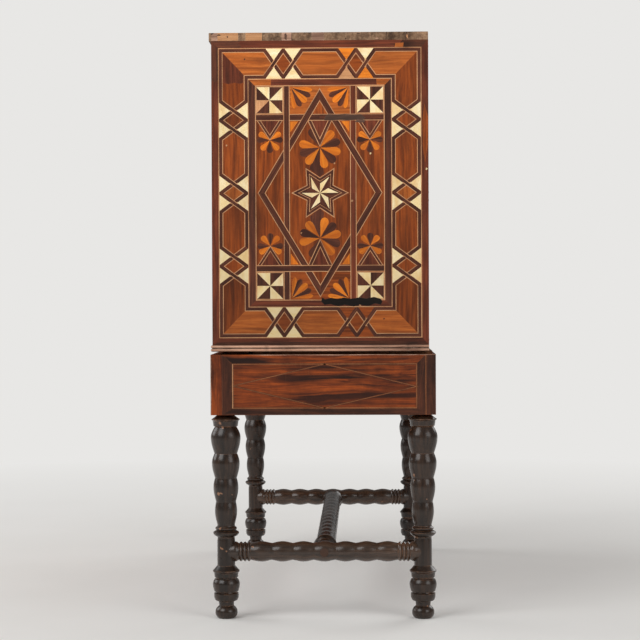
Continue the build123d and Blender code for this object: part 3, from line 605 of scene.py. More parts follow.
class Workshop:
    """Holds the materials and gives a finished mesh its place, finish and body."""

    def __init__(self) -> None:
        """Make the shared effects and every material."""
        self.effects = Effects()
        self.woods = {wood: finish.material(self.effects) for wood, finish in WOODS.items()}
        self.lengthwise: dict[tuple[Wood, Axis], Material] = {}
        self.iron = IronFinish().material(self.effects)

    def turned_along(self, wood: Wood, axis: Axis) -> Material:
        """Give a wood whose grain runs along an axis, made on first use.

        Args:
            wood: the wood.
            axis: its grain's direction.

        Returns:
            The material.
        """
        if (wood, axis) not in self.lengthwise:
            finish = replace(WOODS[wood], name=f"{WOODS[wood].name}_along_{axis.value}", grain=axis)
            self.lengthwise[wood, axis] = finish.material(self.effects)
        return self.lengthwise[wood, axis]

    def mesh(self, name: str, points: list, faces: list, material: Material) -> Piece:
        """Make one closed mesh object at the origin.

        Args:
            name: the piece's name.
            points: its corners in metres.
            faces: its faces as corner numbers.
            material: its finish.

        Returns:
            The new object.
        """
        data = bpy.data.meshes.new(name)
        data.from_pydata(points, [], faces)
        data.materials.append(material)
        return linked(name, data)

    def outward(self, piece: Piece) -> None:
        """Merge doubled corners and turn every face outwards.

        Args:
            piece: the piece.
        """
        shape = bmesh.new()
        shape.from_mesh(piece.data)
        bmesh.ops.remove_doubles(shape, verts=shape.verts, dist=MERGE)
        bmesh.ops.recalc_face_normals(shape, faces=shape.faces)
        shape.to_mesh(piece.data)
        shape.free()

    def tone(self, piece: Piece, tones: list[float]) -> None:
        """Say how much lighter each corner of a mesh is than its wood."""
        piece.data.attributes.new("tone", "FLOAT", "POINT").data.foreach_set("value", tones)

    def place(self, piece: Piece, body: str, slot: str, *nodes: str) -> None:
        """Fix a piece to its body and hide the CAD nodes that it stands for.

        Args:
            piece: the piece.
            body: the body that it moves with.
            slot: not used.
            nodes: the CAD nodes that it stands for.
        """
        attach(piece, body)
        if nodes:
            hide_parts(*nodes)
        log.info("%s: %d faces on %s", piece.name, len(piece.data.polygons), body)

    def dress(self, wood: Material, *nodes: str) -> None:
        """Give CAD nodes a finish.

        Args:
            wood: the finish.
            nodes: the nodes that take it.
        """
        for name in nodes:
            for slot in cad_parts[name].material_slots:
                slot.material = wood
            log.info("%s: %s", name, wood.name)


def clipped(outline: list[Point], a: float, b: float, c: float) -> list[Point]:
    """Keep the part of a flat outline where a x + b y <= c.

    Args:
        outline: the corners of a convex outline.
        a: first factor of the line.
        b: second factor of the line.
        c: the line's level.

    Returns:
        The corners of what is left, or an empty list.
    """
    kept: list[Point] = []
    for i, here in enumerate(outline):
        there = outline[(i + 1) % len(outline)]
        here_in = c - a * here[0] - b * here[1]
        there_in = c - a * there[0] - b * there[1]
        if here_in >= 0:
            kept.append(here)
        if here_in * there_in < 0:
            share = here_in / (here_in - there_in)
            kept.append(
                (here[0] + (there[0] - here[0]) * share, here[1] + (there[1] - here[1]) * share)
            )
    return kept


def area(outline: list[Point]) -> float:
    """Signed area of a flat outline."""
    return sum(p[0] * q[1] - q[0] * p[1] for p, q in zip(outline, outline[1:] + outline[:1])) / 2


def turned(point: Point, degrees: float, centre: Point = (0.0, 0.0)) -> Point:
    """Turn a point about a centre, anticlockwise.

    Args:
        point: the point, from the centre.
        degrees: how far it turns.
        centre: the centre.

    Returns:
        The turned point.
    """
    angle = math.radians(degrees)
    x, y = point
    return (
        centre[0] + x * math.cos(angle) - y * math.sin(angle),
        centre[1] + x * math.sin(angle) + y * math.cos(angle)
    )


def rectangle(half_width: float, half_height: float) -> list[Point]:
    """Give the corners of a rectangle round the middle, anticlockwise from below left."""
    return [(x * half_width, y * half_height) for x, y in ((-1, -1), (1, -1), (1, 1), (-1, 1))]


@dataclass
class Face:
    """A flat face of the cabinet that veneers are laid on.

    The face's own axes are across and up, in millimetres from its centre.
    """

    centre: Triple
    across: Triple
    up: Triple = (0.0, 0.0, 1.0)

    def __post_init__(self) -> None:
        """Work out which way the face looks."""
        self.out = Vector(self.across).cross(Vector(self.up))

    def at(self, point: Point, proud: float) -> Vector:
        """Give the place of a face point, in metres."""
        return (
            Vector(self.centre) + Vector(self.across) * point[0] + Vector(self.up) * point[1]
            + self.out * proud
        ) * MM


@dataclass
class Marquetry:
    """Veneers cut and laid on one face, gathered as one mesh for each wood."""

    name: str
    face: Face
    seed: int = 1
    base: float = 0.05
    step: float = 0.03
    sunk: float = 0.15
    plank: float = 3.0
    # Painted light: how much lighter the top and darker the bottom of the face is laid, as if lit
    # from above
    fade: float = 0.0
    pieces: dict[Wood, list] = field(default_factory=dict)

    def __post_init__(self) -> None:
        """Start the piece's own seeded chance."""
        self.chance = random.Random(self.seed)

    def lay(
        self, outline: list[Point], wood: Wood, grain: float = 90.0, level: float = 0,
        tone: float = 0.1, shade: float = 0.0
    ) -> None:
        """Lay one cut veneer.

        Args:
            outline: its corners in millimetres on the face.
            wood: what it is cut from.
            grain: direction of its grain in degrees.
            level: its layer, higher ones lie over lower ones.
            tone: how far its brightness may differ.
            shade: how much lighter it is than its wood.
        """
        if abs(area(outline)) < SLIVER:
            return
        if area(outline) < 0:
            outline = outline[::-1]
        height = sum(v for _, v in outline) / len(outline)
        # The fade paints light in: higher veneers come out lighter and lower ones darker, as if lit
        # from above
        shade += self.chance.uniform(-tone, tone) + self.fade * height / PAINTED_LIGHT_REACH
        shift = (self.chance.uniform(0, self.plank), self.chance.uniform(0, self.plank))
        self.pieces.setdefault(wood, []).append((outline, grain, level, shade, shift))

    def build(self, shop: Workshop, body: str, slot: str) -> None:
        """Make one mesh for each wood and fix it to a body."""
        for wood, pieces in self.pieces.items():
            shop.place(self._sheet(shop, wood, pieces), body, slot)

    def _sheet(self, shop: Workshop, wood: Wood, pieces: list) -> Piece:
        """Make all pieces of one wood as one mesh of thin closed plates.

        Args:
            shop: makes and places the pieces.
            wood: the wood.
            pieces: outline, grain, level, shade and shift of each.

        Returns:
            The mesh object.
        """
        points: list[Vector] = []
        faces: list[list[int]] = []
        maps: list[Point] = []
        tones: list[float] = []
        for outline, grain, level, shade, shift in pieces:
            start = len(points)
            count = len(outline)
            proud = self.base + self.step * level
            points += [self.face.at(p, proud) for p in outline] + [
                self.face.at(p, -self.sunk) for p in outline
            ]
            rings = [
                list(range(start, start + count)),
                list(range(start + 2 * count - 1, start + count - 1, -1))
            ]
            for i in range(count):
                j = (i + 1) % count
                rings.append([start + i, start + count + i, start + count + j, start + j])
            for ring in rings:
                faces.append(ring)
                for corner in ring:
                    x, y = turned(outline[(corner - start) % count], -grain)
                    maps.append((x * MM + shift[0], y * MM + shift[1]))
            tones += [shade] * (2 * count)
        made = shop.mesh(f"{self.name}_{wood.value}", points, faces, shop.woods[wood])
        layer = made.data.uv_layers.new(name="grain")
        layer.data.foreach_set("uv", [value for pair in maps for value in pair])
        shop.tone(made, tones)
        return made


@dataclass
class Strap:
    """A dark band between two pale strings, laid along a run of straight stretches."""

    width: float = 8.0
    string: float = 1.4
    wood: Wood = Wood.DARK
    edge: Wood = Wood.STRING

    def lay(
        self, work: Marquetry, path: list[Point], levels: list[float], closed: bool = False,
        strings: list[int] | None = None
    ) -> None:
        """Lay the band and its strings.

        Args:
            work: the face's marquetry.
            path: corners of the band's middle line.
            levels: the layer of each stretch.
            closed: whether the last stretch runs back to the first corner.
            strings: each stretch's string side, 1 left, -1 right or 0 both. Both if not given.
        """
        half = self.width / 2
        parts = (
            (0, -half, half, self.wood, 0.0), (-1, -half, -half + self.string, self.edge, 0.4),
            (1, half - self.string, half, self.edge, 0.4)
        )
        for side, low, high, wood, lift in parts:
            left = self.offset(path, high, closed)
            right = self.offset(path, low, closed)
            for i, level in enumerate(levels):
                if side and strings and strings[i] not in (0, side):
                    continue
                j = (i + 1) % len(path)
                run = math.degrees(math.atan2(path[j][1] - path[i][1], path[j][0] - path[i][0]))
                work.lay([right[i], right[j], left[j], left[i]], wood, run, level + lift, 0.07)

    @staticmethod
    def offset(path: list[Point], distance: float, closed: bool) -> list[Point]:
        """Shift a run of corners sideways, with mitred turns.

        Args:
            path: the corners.
            distance: how far they move, to the left of their run.
            closed: whether the last stretch runs back to the first corner.

        Returns:
            The shifted corners.
        """
        shifted = []
        count = len(path)
        for i, here in enumerate(path):
            before = path[i - 1] if closed or i > 0 else None
            after = path[(i + 1) % count] if closed or i < count - 1 else None
            normals = []
            for a, b in ((before, here), (here, after)):
                if a is not None and b is not None:
                    dx, dy = b[0] - a[0], b[1] - a[1]
                    length = math.hypot(dx, dy)
                    normals.append((-dy / length, dx / length))
            nx = sum(n[0] for n in normals) / len(normals)
            ny = sum(n[1] for n in normals) / len(normals)
            scale = distance / (nx * nx + ny * ny)
            shifted.append((here[0] + nx * scale, here[1] + ny * scale))
        return shifted


# One side of a leaf from root to tip, as shares of its length and of half its width
LEAF = ((0.03, 0.0), (0.35, 0.42), (0.62, 0.85), (0.78, 1.0), (0.9, 0.86), (0.97, 0.5), (1.0, 0.0))


@dataclass
class Drawing:
    """A pattern drawn on a face, with its own centre and stretch."""

    work: Marquetry
    centre: Point = (0.0, 0.0)
    stretch: Point = (1.0, 1.0)

    def at(self, points: list[Point]) -> list[Point]:
        """Move pattern points to their place on the face."""
        return [
            (self.centre[0] + x * self.stretch[0], self.centre[1] + y * self.stretch[1])
            for x, y in points
        ]

    def cut(
        self, points: list[Point], wood: Wood, grain: float = 90.0, level: float = 0,
        tone: float = 0.1, shade: float = 0.0
    ) -> None:
        """Lay one veneer given in pattern points."""
        self.work.lay(self.at(points), wood, grain, level, tone, shade)

    def line(
        self, points: list[Point], width: float = 1.4, wood: Wood = Wood.STRING, level: float = 1,
        closed: bool = True
    ) -> None:
        """Lay a string along pattern points.

        Args:
            points: the string's middle line.
            width: its width.
            wood: what it is cut from.
            level: its layer.
            closed: whether it ends at its first point.
        """
        run = Strap(width, 0.0, wood, wood)
        levels = [level] * (len(points) if closed else len(points) - 1)
        run.lay(self.work, self.at(points), levels, closed)

    def strap(
        self, points: list[Point], levels: list[float], width: float, closed: bool = False,
        wood: Wood = Wood.DARK, string: float = 1.4
    ) -> None:
        """Lay a strap along pattern points."""
        Strap(width, string, wood).lay(self.work, self.at(points), levels, closed)

    def frame(
        self, outer: Point, inner: Point, woods: tuple[Wood, Wood], level: float = 0,
        tone: float = 0.1
    ) -> None:
        """Lay four mitred bands between two rectangles: the sides, then top and bottom.

        Args:
            outer: half size of the outer rectangle.
            inner: half size of the inner rectangle.
            woods: the wood of the sides, then of the rest.
            level: its layer.
            tone: how far their brightness may differ.
        """
        (a, b), (c, d) = outer, inner
        for sign in (-1, 1):
            self.cut([
                (sign * a, -b), (sign * a, b), (sign * c, d), (sign * c, -d)
            ], woods[0], 90, level, tone)
            self.cut([
                (-a, sign * b), (a, sign * b), (c, sign * d), (-c, sign * d)
            ], woods[1], 0, level, tone)

    def petal(
        self, root: Point, degrees: float, length: float, half: float, wood: Wood, level: float = 1
    ) -> None:
        """Lay one pointed leaf from its root.

        Args:
            root: where the leaf starts.
            degrees: the way it points.
            length: its length.
            half: half its width.
            wood: what it is cut from.
            level: its layer.
        """
        side = [(length * along, half * out) for along, out in LEAF]
        outline = side + [(x, -y) for x, y in side[-2:0:-1]]
        self.cut([turned((x, -y), degrees, root) for x, y in outline], wood, degrees, level, 0.12)

    def rosette(
        self, centre: Point, length: float, half: float, petals: dict[float, Wood],
        flip: float = 1.0
    ) -> None:
        """Lay leaves round a centre at their own angles."""
        for degrees, wood in petals.items():
            self.petal(centre, degrees * flip, length, half, wood)

    def star(
        self, centre: Point, tip: float, hollow: float, band_tip: float, band_hollow: float
    ) -> None:
        """Lay a six-point star of two woods in a dark star band edged with a string.

        Args:
            centre: its middle.
            tip: reach of the inner star's points.
            hollow: reach of its hollows.
            band_tip: reach of the band's points.
            band_hollow: reach of the band's hollows.
        """
        def ring(radius: float, degrees: float) -> Point:
            """Give a point round the centre."""
            return turned((radius, 0.0), degrees, centre)
        rim = []
        for degrees in range(0, 360, 60):
            for far, near, wood, level, tone in (
                (band_tip, band_hollow, Wood.DARK, 1, 0.1), (tip, hollow, Wood.BONE, 2, 0.05)
            ):
                left = [centre, ring(far, degrees), ring(near, degrees + 30)]
                right = [centre, ring(near, degrees - 30), ring(far, degrees)]
                self.cut(left, wood, degrees, level, tone)
                self.cut(right, Wood.DARK, degrees, level)
            rim += [ring(band_tip, degrees), ring(band_hollow, degrees + 30)]
        self.line(rim, 1.6, Wood.STRING, 2)
        edge = [
            ring(tip * 1.17 if degrees % 60 == 0 else hollow * 1.25, degrees)
            for degrees in range(0, 360, 30)
        ]
        self.line(edge, 1.0, Wood.STRING, 2.4)

    def pinwheel(self, centre: Point, half: float, last: Wood = Wood.BONE) -> None:
        """Lay a square of eight triangles, dark and bone in turn.

        Args:
            centre: its middle.
            half: half its side.
            last: the wood of its odd triangle.
        """
        corners = [(0, 1), (1, 1), (1, 0), (1, -1), (0, -1), (-1, -1), (-1, 0), (-1, 1)]
        for i, here in enumerate(corners):
            there = corners[(i + 1) % 8]
            wood = Wood.DARK if i % 2 == 0 else last if i == 5 else Wood.BONE
            points = [centre] + [
                (centre[0] + half * x, centre[1] + half * y) for x, y in (here, there)
            ]
            self.cut(points, wood, 90, 1, 0.05)
        self.line([
            (centre[0] + half * x, centre[1] + half * y) for x, y in corners[1::2]
        ], 1.3, Wood.STRING, 2)


@dataclass
class StrapBorder:
    """A border of two straps that cross in knots, with panels between them."""

    outer: Point = (198.3, 285.1)
    inner: Point = (147.5, 232.1)
    strap: float = 8.4
    side_knots: tuple[float, ...] = (-146.0, 0.0, 146.0)
    end_knots: tuple[float, ...] = (-72.6, 72.6)
    knot: float = 38.0
    odd: dict = field(default_factory=dict)

    def lay(self, drawing: Drawing) -> None:
        """Lay panels, knots, straps and strings.

        Args:
            drawing: takes the veneers.
        """
        for sign in (-1, 1):
            self._run(drawing, sign, True)
            self._run(drawing, sign, False)
        for outward in (True, False):
            self._straps(drawing, outward)
        half = self.strap / 2
        drawing.line(rectangle(self.outer[0] + half, self.outer[1] + half), 1.6, Wood.STRING, 4)
        drawing.line(rectangle(self.inner[0] - half, self.inner[1] - half), 1.6, Wood.STRING, 4)

    def _side(self, sign: int, upright: bool, along: float, out: float) -> Point:
        """Place a point of one side, given along it and out from the middle."""
        return (sign * out, along) if upright else (along, sign * out)

    def _run(self, drawing: Drawing, sign: int, upright: bool) -> None:
        """Lay the panels and knots of one side.

        Args:
            drawing: takes the veneers.
            sign: 1 or -1, for the side's place.
            upright: whether the side stands upright.
        """
        mine, other = (0, 1) if upright else (1, 0)
        outer, inner = self.outer[mine], self.inner[mine]
        middle = (outer + inner) / 2
        knots = self.side_knots if upright else self.end_knots
        wood = Wood.ROSEWOOD if upright else Wood.AMBER
        grain = 90 if upright else 0
        k = self.knot

        def put(
            points: list[Point], wood: Wood, run: float, level: float, tone: float = 0.12,
            shade: float = 0.0
        ) -> None:
            """Lay an outline given along and out from the side."""
            drawing.cut(
                [self._side(sign, upright, a, o) for a, o in points], wood, run, level, tone, shade
            )

        for a, b in zip(knots, knots[1:]):
            put([
                (a + k, outer), (b - k, outer), (b - k / 2, middle), (b - k, inner), (a + k, inner),
                (a + k / 2, middle)
            ], wood, grain, 0)
        for way, knot in ((1, knots[-1]), (-1, -knots[0])):
            tail = [
                (self.outer[other], outer), (self.inner[other], inner), (knot + k, inner),
                (knot + k / 2, middle), (knot + k, outer)
            ]
            put([(way * a, o) for a, o in tail], wood, grain, 0, 0.06, -0.2 if upright else 0.02)
        for number, knot in enumerate(knots):
            for way in (-1, 1):
                for rim, base in ((1, outer + self.strap / 2), (-1, inner - self.strap / 2)):
                    fill = self.odd.get((upright, sign, number, way, rim), Wood.BONE)
                    put([
                        (knot, base), (knot + way * (k + 4), base), (knot + way * k / 2, middle)
                    ], fill, grain, 0, 0.05)
            diamond = [
                (0.0, (outer - inner) / 2), (k / 2, 0.0), (0.0, (inner - outer) / 2), (-k / 2, 0.0)
            ]
            put([(knot + a, middle + o) for a, o in diamond], Wood.DARK, grain, 0)
            core = Wood.AMBER if upright and number == 1 else Wood.ROSEWOOD
            put([
                (knot + a * 0.8, middle + o * 0.8) for a, o in diamond
            ], core, grain, 1, 0.12, -0.12)

    def _straps(self, drawing: Drawing, outward: bool) -> None:
        """Lay one of the two straps right round, over and under the other at each crossing.

        Args:
            drawing: takes the veneers.
            outward: whether it is the outer strap of the two.
        """
        home, away = (self.outer, self.inner) if outward else (self.inner, self.outer)
        inward = 1 if outward else -1
        path: list[Point] = []
        strings: list[int] = []
        for sign, upright in ((1, True), (1, False), (-1, True), (-1, False)):
            mine, other = (0, 1) if upright else (1, 0)
            rising = (sign > 0) == upright
            knots = self.side_knots if upright else self.end_knots
            path.append(
                self._side(sign, upright, -home[other] if rising else home[other], home[mine])
            )
            strings.append(inward)
            for knot in knots if rising else knots[::-1]:
                way = self.knot if rising else -self.knot
                for share, string in (
                    (-1.0, inward), (-0.62, 0), (-0.38, -inward), (0.0, -inward), (0.38, 0),
                    (0.62, inward), (1.0, inward)
                ):
                    out = away[mine] + (home[mine] - away[mine]) * abs(share)
                    path.append(self._side(sign, upright, knot + way * share, out))
                    strings.append(string)
        levels = []
        for i, here in enumerate(path):
            there = path[(i + 1) % len(path)]
            slope = (there[0] - here[0]) * (there[1] - here[1])
            on_side = abs(abs(here[0] + there[0]) / 2) > (self.inner[0] - 1)
            over = slope < -1 if on_side else slope > 1
            levels.append(3 if over else 2)
        Strap(self.strap).lay(drawing.work, drawing.at(path), levels, True, strings)


@dataclass
class StrapField:
    """The middle of a panel: a rhombus woven with two pairs of straps round a star."""

    half: Point = (128.2, 214.0)
    posts: float = 66.5
    rails: float = 151.0
    post_width: float = 12.4
    rail_width: float = 13.4
    rhombus: Point = (117.0, 196.0)
    rhombus_width: float = 13.4
    square: Triple = (100.6, 185.7, 26.6)
    big_rosette: float = 90.5
    small_rosette: Point = (100.0, 106.0)
    fan: Point = (57.5, 211.0)

    def lay(self, drawing: Drawing) -> None:
        """Lay ground, figures and straps.

        Args:
            drawing: takes the veneers.
        """
        self._ground(drawing)
        self._squares(drawing)
        self._rosettes(drawing)
        self._fans(drawing)
        self._chevrons(drawing)
        drawing.star((0.0, 0.0), 37.0, 18.6, 56.0, 30.0)
        self._weave(drawing)

    def _ground(self, drawing: Drawing) -> None:
        """Lay the cells that the straps cut the field into.

        Args:
            drawing: takes the veneers.
        """
        w, h = self.half
        a, b = self.rhombus
        for low_u, high_u in ((-w, -self.posts), (-self.posts, self.posts), (self.posts, w)):
            for low_v, high_v in ((-h, -self.rails), (-self.rails, self.rails), (self.rails, h)):
                cell = [(low_u, low_v), (high_u, low_v), (high_u, high_v), (low_u, high_v)]
                inside = cell
                for su, sv in ((1, 1), (-1, 1), (-1, -1), (1, -1)):
                    inside = clipped(inside, su / a, sv / b, 1.0)
                    outside = clipped(cell, -su / a, -sv / b, -1.0)
                    outside = clipped(clipped(outside, -su, 0, 0), 0, -sv, 0)
                    if len(outside) > 2:
                        top_middle = sv > 0 and low_v > 0 and abs(low_u + high_u) < 1
                        wood = Wood.AMBER if top_middle else Wood.ROSEWOOD
                        drawing.cut(outside, wood, 90 if abs(low_v + high_v) < 1 else 0, 0, 0.1)
                if len(inside) > 2:
                    drawing.cut(inside, Wood.ROSEWOOD, 90, 0, 0.1)

    def _squares(self, drawing: Drawing) -> None:
        """Lay the pinwheel squares in the four corners.

        Args:
            drawing: takes the veneers.
        """
        x, y, half = self.square
        for su, sv in ((-1, 1), (1, 1), (-1, -1), (1, -1)):
            drawing.pinwheel(
                (su * x, sv * y), half, Wood.STRING if (su, sv) == (-1, 1) else Wood.BONE
            )

    def _rosettes(self, drawing: Drawing) -> None:
        """Lay the two large and four small rosettes.

        Args:
            drawing: takes the veneers.
        """
        light, dark = Wood.ORANGE, Wood.DARK
        large = {
            18.0: dark, -44.0: dark, -162.0: dark, 117.0: dark, 51.0: light, -13.5: light,
            -75.0: light, -130.0: light, 168.0: light
        }
        small = {
            0.0: dark, 180.0: dark, 270.0: dark, 33.0: light, 147.0: light, 229.0: light,
            311.0: light
        }
        for flip in (1, -1):
            x, y = 0.0, flip * self.big_rosette
            kite = [
                (x, y), (x - 18.5, y - flip * 35.0), (x - 21.0, y - flip * 43.0),
                (x, y - flip * 59.0), (x + 8.0, y - flip * 51.0)
            ]
            drawing.cut(kite, dark, 90, 0.7, 0.05, 0.12)
            drawing.rosette((x, y), 42.5, 8.3, large, flip)
            for su in (-1, 1):
                drawing.rosette(
                    (su * self.small_rosette[0], flip * self.small_rosette[1]), 26.0, 6.0, small,
                    flip
                )

    def _fans(self, drawing: Drawing) -> None:
        """Lay the leaves in the corners of the end cells, and the corner chips by the rails.

        Args:
            drawing: takes the veneers.
        """
        for su in (-1, 1):
            for sv in (-1, 1):
                x, y = self.fan
                for degrees, half, wood in (
                    (-7.5, 4.4, Wood.ORANGE), (-80.5, 4.4, Wood.ORANGE), (-24.5, 5.6, Wood.DARK),
                    (-63.0, 5.6, Wood.DARK), (-43.5, 6.4, Wood.ORANGE)
                ):
                    tip = turned((1.0, 0.0), degrees)
                    way = math.degrees(math.atan2(tip[1] * sv, -tip[0] * su))
                    drawing.petal(
                        (su * x, sv * y), way, 43.0, half, wood, 1.5 if wood is Wood.DARK else 1.8
                    )
                chip = [(59.0, 143.0), (43.5, 143.0), (59.0, 121.0)]
                drawing.cut([(su * x, sv * y) for x, y in chip], Wood.ORANGE, 90, 1)

    def _chevrons(self, drawing: Drawing) -> None:
        """Lay the narrow strap chevrons that hang from the rails.

        Args:
            drawing: takes the veneers.
        """
        for sv in (-1, 1):
            drawing.cut([(-18.0, sv * 145), (18.0, sv * 145), (0.0, sv * 108)], Wood.REDWOOD, 90, 1)
            drawing.strap([(-21.0, sv * 146), (0.0, sv * 100.4), (21.0, sv * 146)], [1.5, 1.5], 7.6)
            for su in (-1, 1):
                x = su * self.small_rosette[0]
                drawing.cut(
                    [(x - 19, sv * 145), (x + 19, sv * 145), (x, sv * 115)], Wood.REDWOOD, 90, 1.4
                )
                drawing.strap([
                    (x - 24, sv * 148), (x, sv * 111), (x + 24, sv * 148)
                ], [1.9, 1.9], 6.4, string=1.2)

    def _weave(self, drawing: Drawing) -> None:
        """Lay posts, rails and rhombus over and under each other.

        Args:
            drawing: takes the veneers.
        """
        w, h = self.half
        p, r = self.posts, self.rails
        drawing.strap([(-p, -h), (-p, 0.0), (-p, h)], [3, 6], self.post_width)
        drawing.strap([(p, -h), (p, 0.0), (p, h)], [6, 3], self.post_width, wood=Wood.REDWOOD)
        drawing.strap([(-w, r), (0.0, r), (w, r)], [4, 6.5], self.rail_width)
        drawing.strap([(-w, -r), (0.0, -r), (w, -r)], [6.5, 4], self.rail_width)
        a, b = self.rhombus
        drawing.strap(
            [(a, 0.0), (0.0, b), (-a, 0.0), (0.0, -b)], [5, 5, 5, 5], self.rhombus_width, True
        )


@dataclass
class CaseEnd:
    """One end of the cabinet: outer band, strap border, inner frame and woven field."""

    side: int
    half: Point = (216.8, 304.3)
    middle: float = 855.3
    case_y: float = 9.0
    face_x: float = 530.0
    string: Point = (202.4, 289.3)
    frame_outer: Point = (143.2, 228.0)
    field_edge: Point = (128.6, 214.3)

    def build(self, shop: Workshop) -> None:
        """Lay the whole end.

        Args:
            shop: makes and places the pieces.
        """
        face = Face(
            (self.side * self.face_x, self.case_y, self.middle), (0.0, float(self.side), 0.0)
        )
        name = "right_end" if self.side > 0 else "left_end"
        # The end's fade is painted light, lighter at the top and darker at the bottom, as if lit
        # from above
        work = Marquetry(f"{name}_marquetry", face, seed=11 + self.side, fade=0.24)
        drawing = Drawing(work)
        drawing.frame(self.half, self.string, (Wood.REDWOOD, Wood.REDWOOD), 0, 0.06)
        odd = {
            (False, 1, 1, -1, 1): Wood.ORANGE, (False, 1, 1, 1, -1): Wood.ORANGE,
            (False, 1, 1, -1, -1): Wood.STRING
        }
        odd.update({(False, -1, 1, way, rim): Wood.ROSEWOOD for way in (-1, 1) for rim in (-1, 1)})
        StrapBorder(odd=odd).lay(drawing)
        drawing.frame(self.frame_outer, self.field_edge, (Wood.DARK, Wood.REDWOOD), 0.5)
        drawing.line(rectangle(*self.field_edge), 1.8, Wood.STRING, 7)
        StrapField().lay(drawing)
        self._age(drawing)
        work.build(shop, "root", "case_veneer")

    def _age(self, drawing: Drawing) -> None:
        """Lay the old repairs, losses and burns.

        Args:
            drawing: takes the veneers.
        """
        def mark(
            points: list[Point], wood: Wood, level: float, grain: float = 0.0, shade: float = 0.0
        ) -> None:
            """Lay one mark, mirrored on the left end."""
            drawing.cut([(self.side * x, y) for x, y in points], wood, grain, level, 0.03, shade)

        (w, h), (a, b) = self.half, self.string
        mark([(-w, h), (-w, 226), (-209, 221), (-a, 228), (-a, b)], Wood.SMOKED, 0.3, 90, 0.35)
        mark([
            (-w, h), (-a, b), (-162, b), (-156, 294), (-163, 299), (-158, h)
        ], Wood.SMOKED, 0.35, 0, 0.45)
        mark(
            [(w, h), (a, b), (150, b), (148, 296), (161, 299), (165, h)], Wood.SMOKED, 0.35, 0, 0.3
        )
        mark([(150, 290), (167, 290), (168, 299), (151, 298)], Wood.AMBER, 0.4, 0, -0.1)
        mark([
            (w - 0.3, 150), (w - 1.2, 96), (210, 58), (205.5, 92), (204.6, 138), (209, 178)
        ], Wood.ROSEWOOD, 0.3, 90, 0.1)
        mark([
            (-w, -h), (w, -h), (210, -299), (60, -296), (20, -299), (-120, -297), (-208, -300)
        ], Wood.SMOKED, 0.35, 0, 0.1)
        mark([
            (-194, 280.5), (-194, 221), (-183, 218.5), (-170, 221), (-160, 219), (-152, 220.5),
            (-152, 236.5)
        ], Wood.REDWOOD, 0.45, 90, -0.22)
        mark(
            [(-142.8, 227.6), (-97, 227.6), (-98, 215.2), (-130.4, 215.2)], Wood.AMBER, 0.9, 0, 0.05
        )
        mark(
            [(142.8, 227.6), (113, 227.6), (114, 215.2), (130.4, 215.2)], Wood.AMBER, 0.9, 0, -0.06
        )
        mark([
            (4, -209), (9, -213), (22, -210), (34, -212.4), (47, -209.6), (61, -212), (78, -209.4),
            (92, -211.6), (107, -208.6), (120, -212), (124, -217), (121, -224), (109, -221.6),
            (96, -227), (80, -224.6), (66, -227.6), (49, -224), (35, -227), (20, -222.6), (8, -224),
            (1, -217)
        ], Wood.SCORCH, 7.5, 0, -0.72)
        mark([
            (9, 145), (24, 144.4), (41, 145.6), (58, 144.4), (73, 145.4), (86, 145), (91, 149),
            (87, 153), (82, 156.6), (66, 156), (50, 157.2), (33, 156), (17, 157.4), (11, 153)
        ], Wood.SCORCH, 7.4, 0, 0.05)
        mark([(70, 141), (88, 140), (91, 145), (75, 146.5)], Wood.SCORCH, 7.6, 0, 0.35)
        for x, y, size, wood in (
            (-187, 96, 2.2, Wood.STRING), (213, 47, 2.6, Wood.BONE), (101, 78.5, 2.4, Wood.BONE),
            (64, -16, 2.4, Wood.STRING), (-38, -80, 2.2, Wood.STRING), (29, 59, 2.0, Wood.STRING),
            (79, -226, 2.8, Wood.STRING), (-150, 268, 1.8, Wood.SCORCH), (127, -252, 2.0, Wood.DARK)
        ):
            spot = [
                turned((size * stretch, 0.0), 360 * i / 7 + 11, (x, y))
                for i, stretch in enumerate((1.0, 0.7, 0.95, 0.6, 0.9, 1.1, 0.65))
            ]
            mark(spot, wood, 7.8, 90, -0.2)


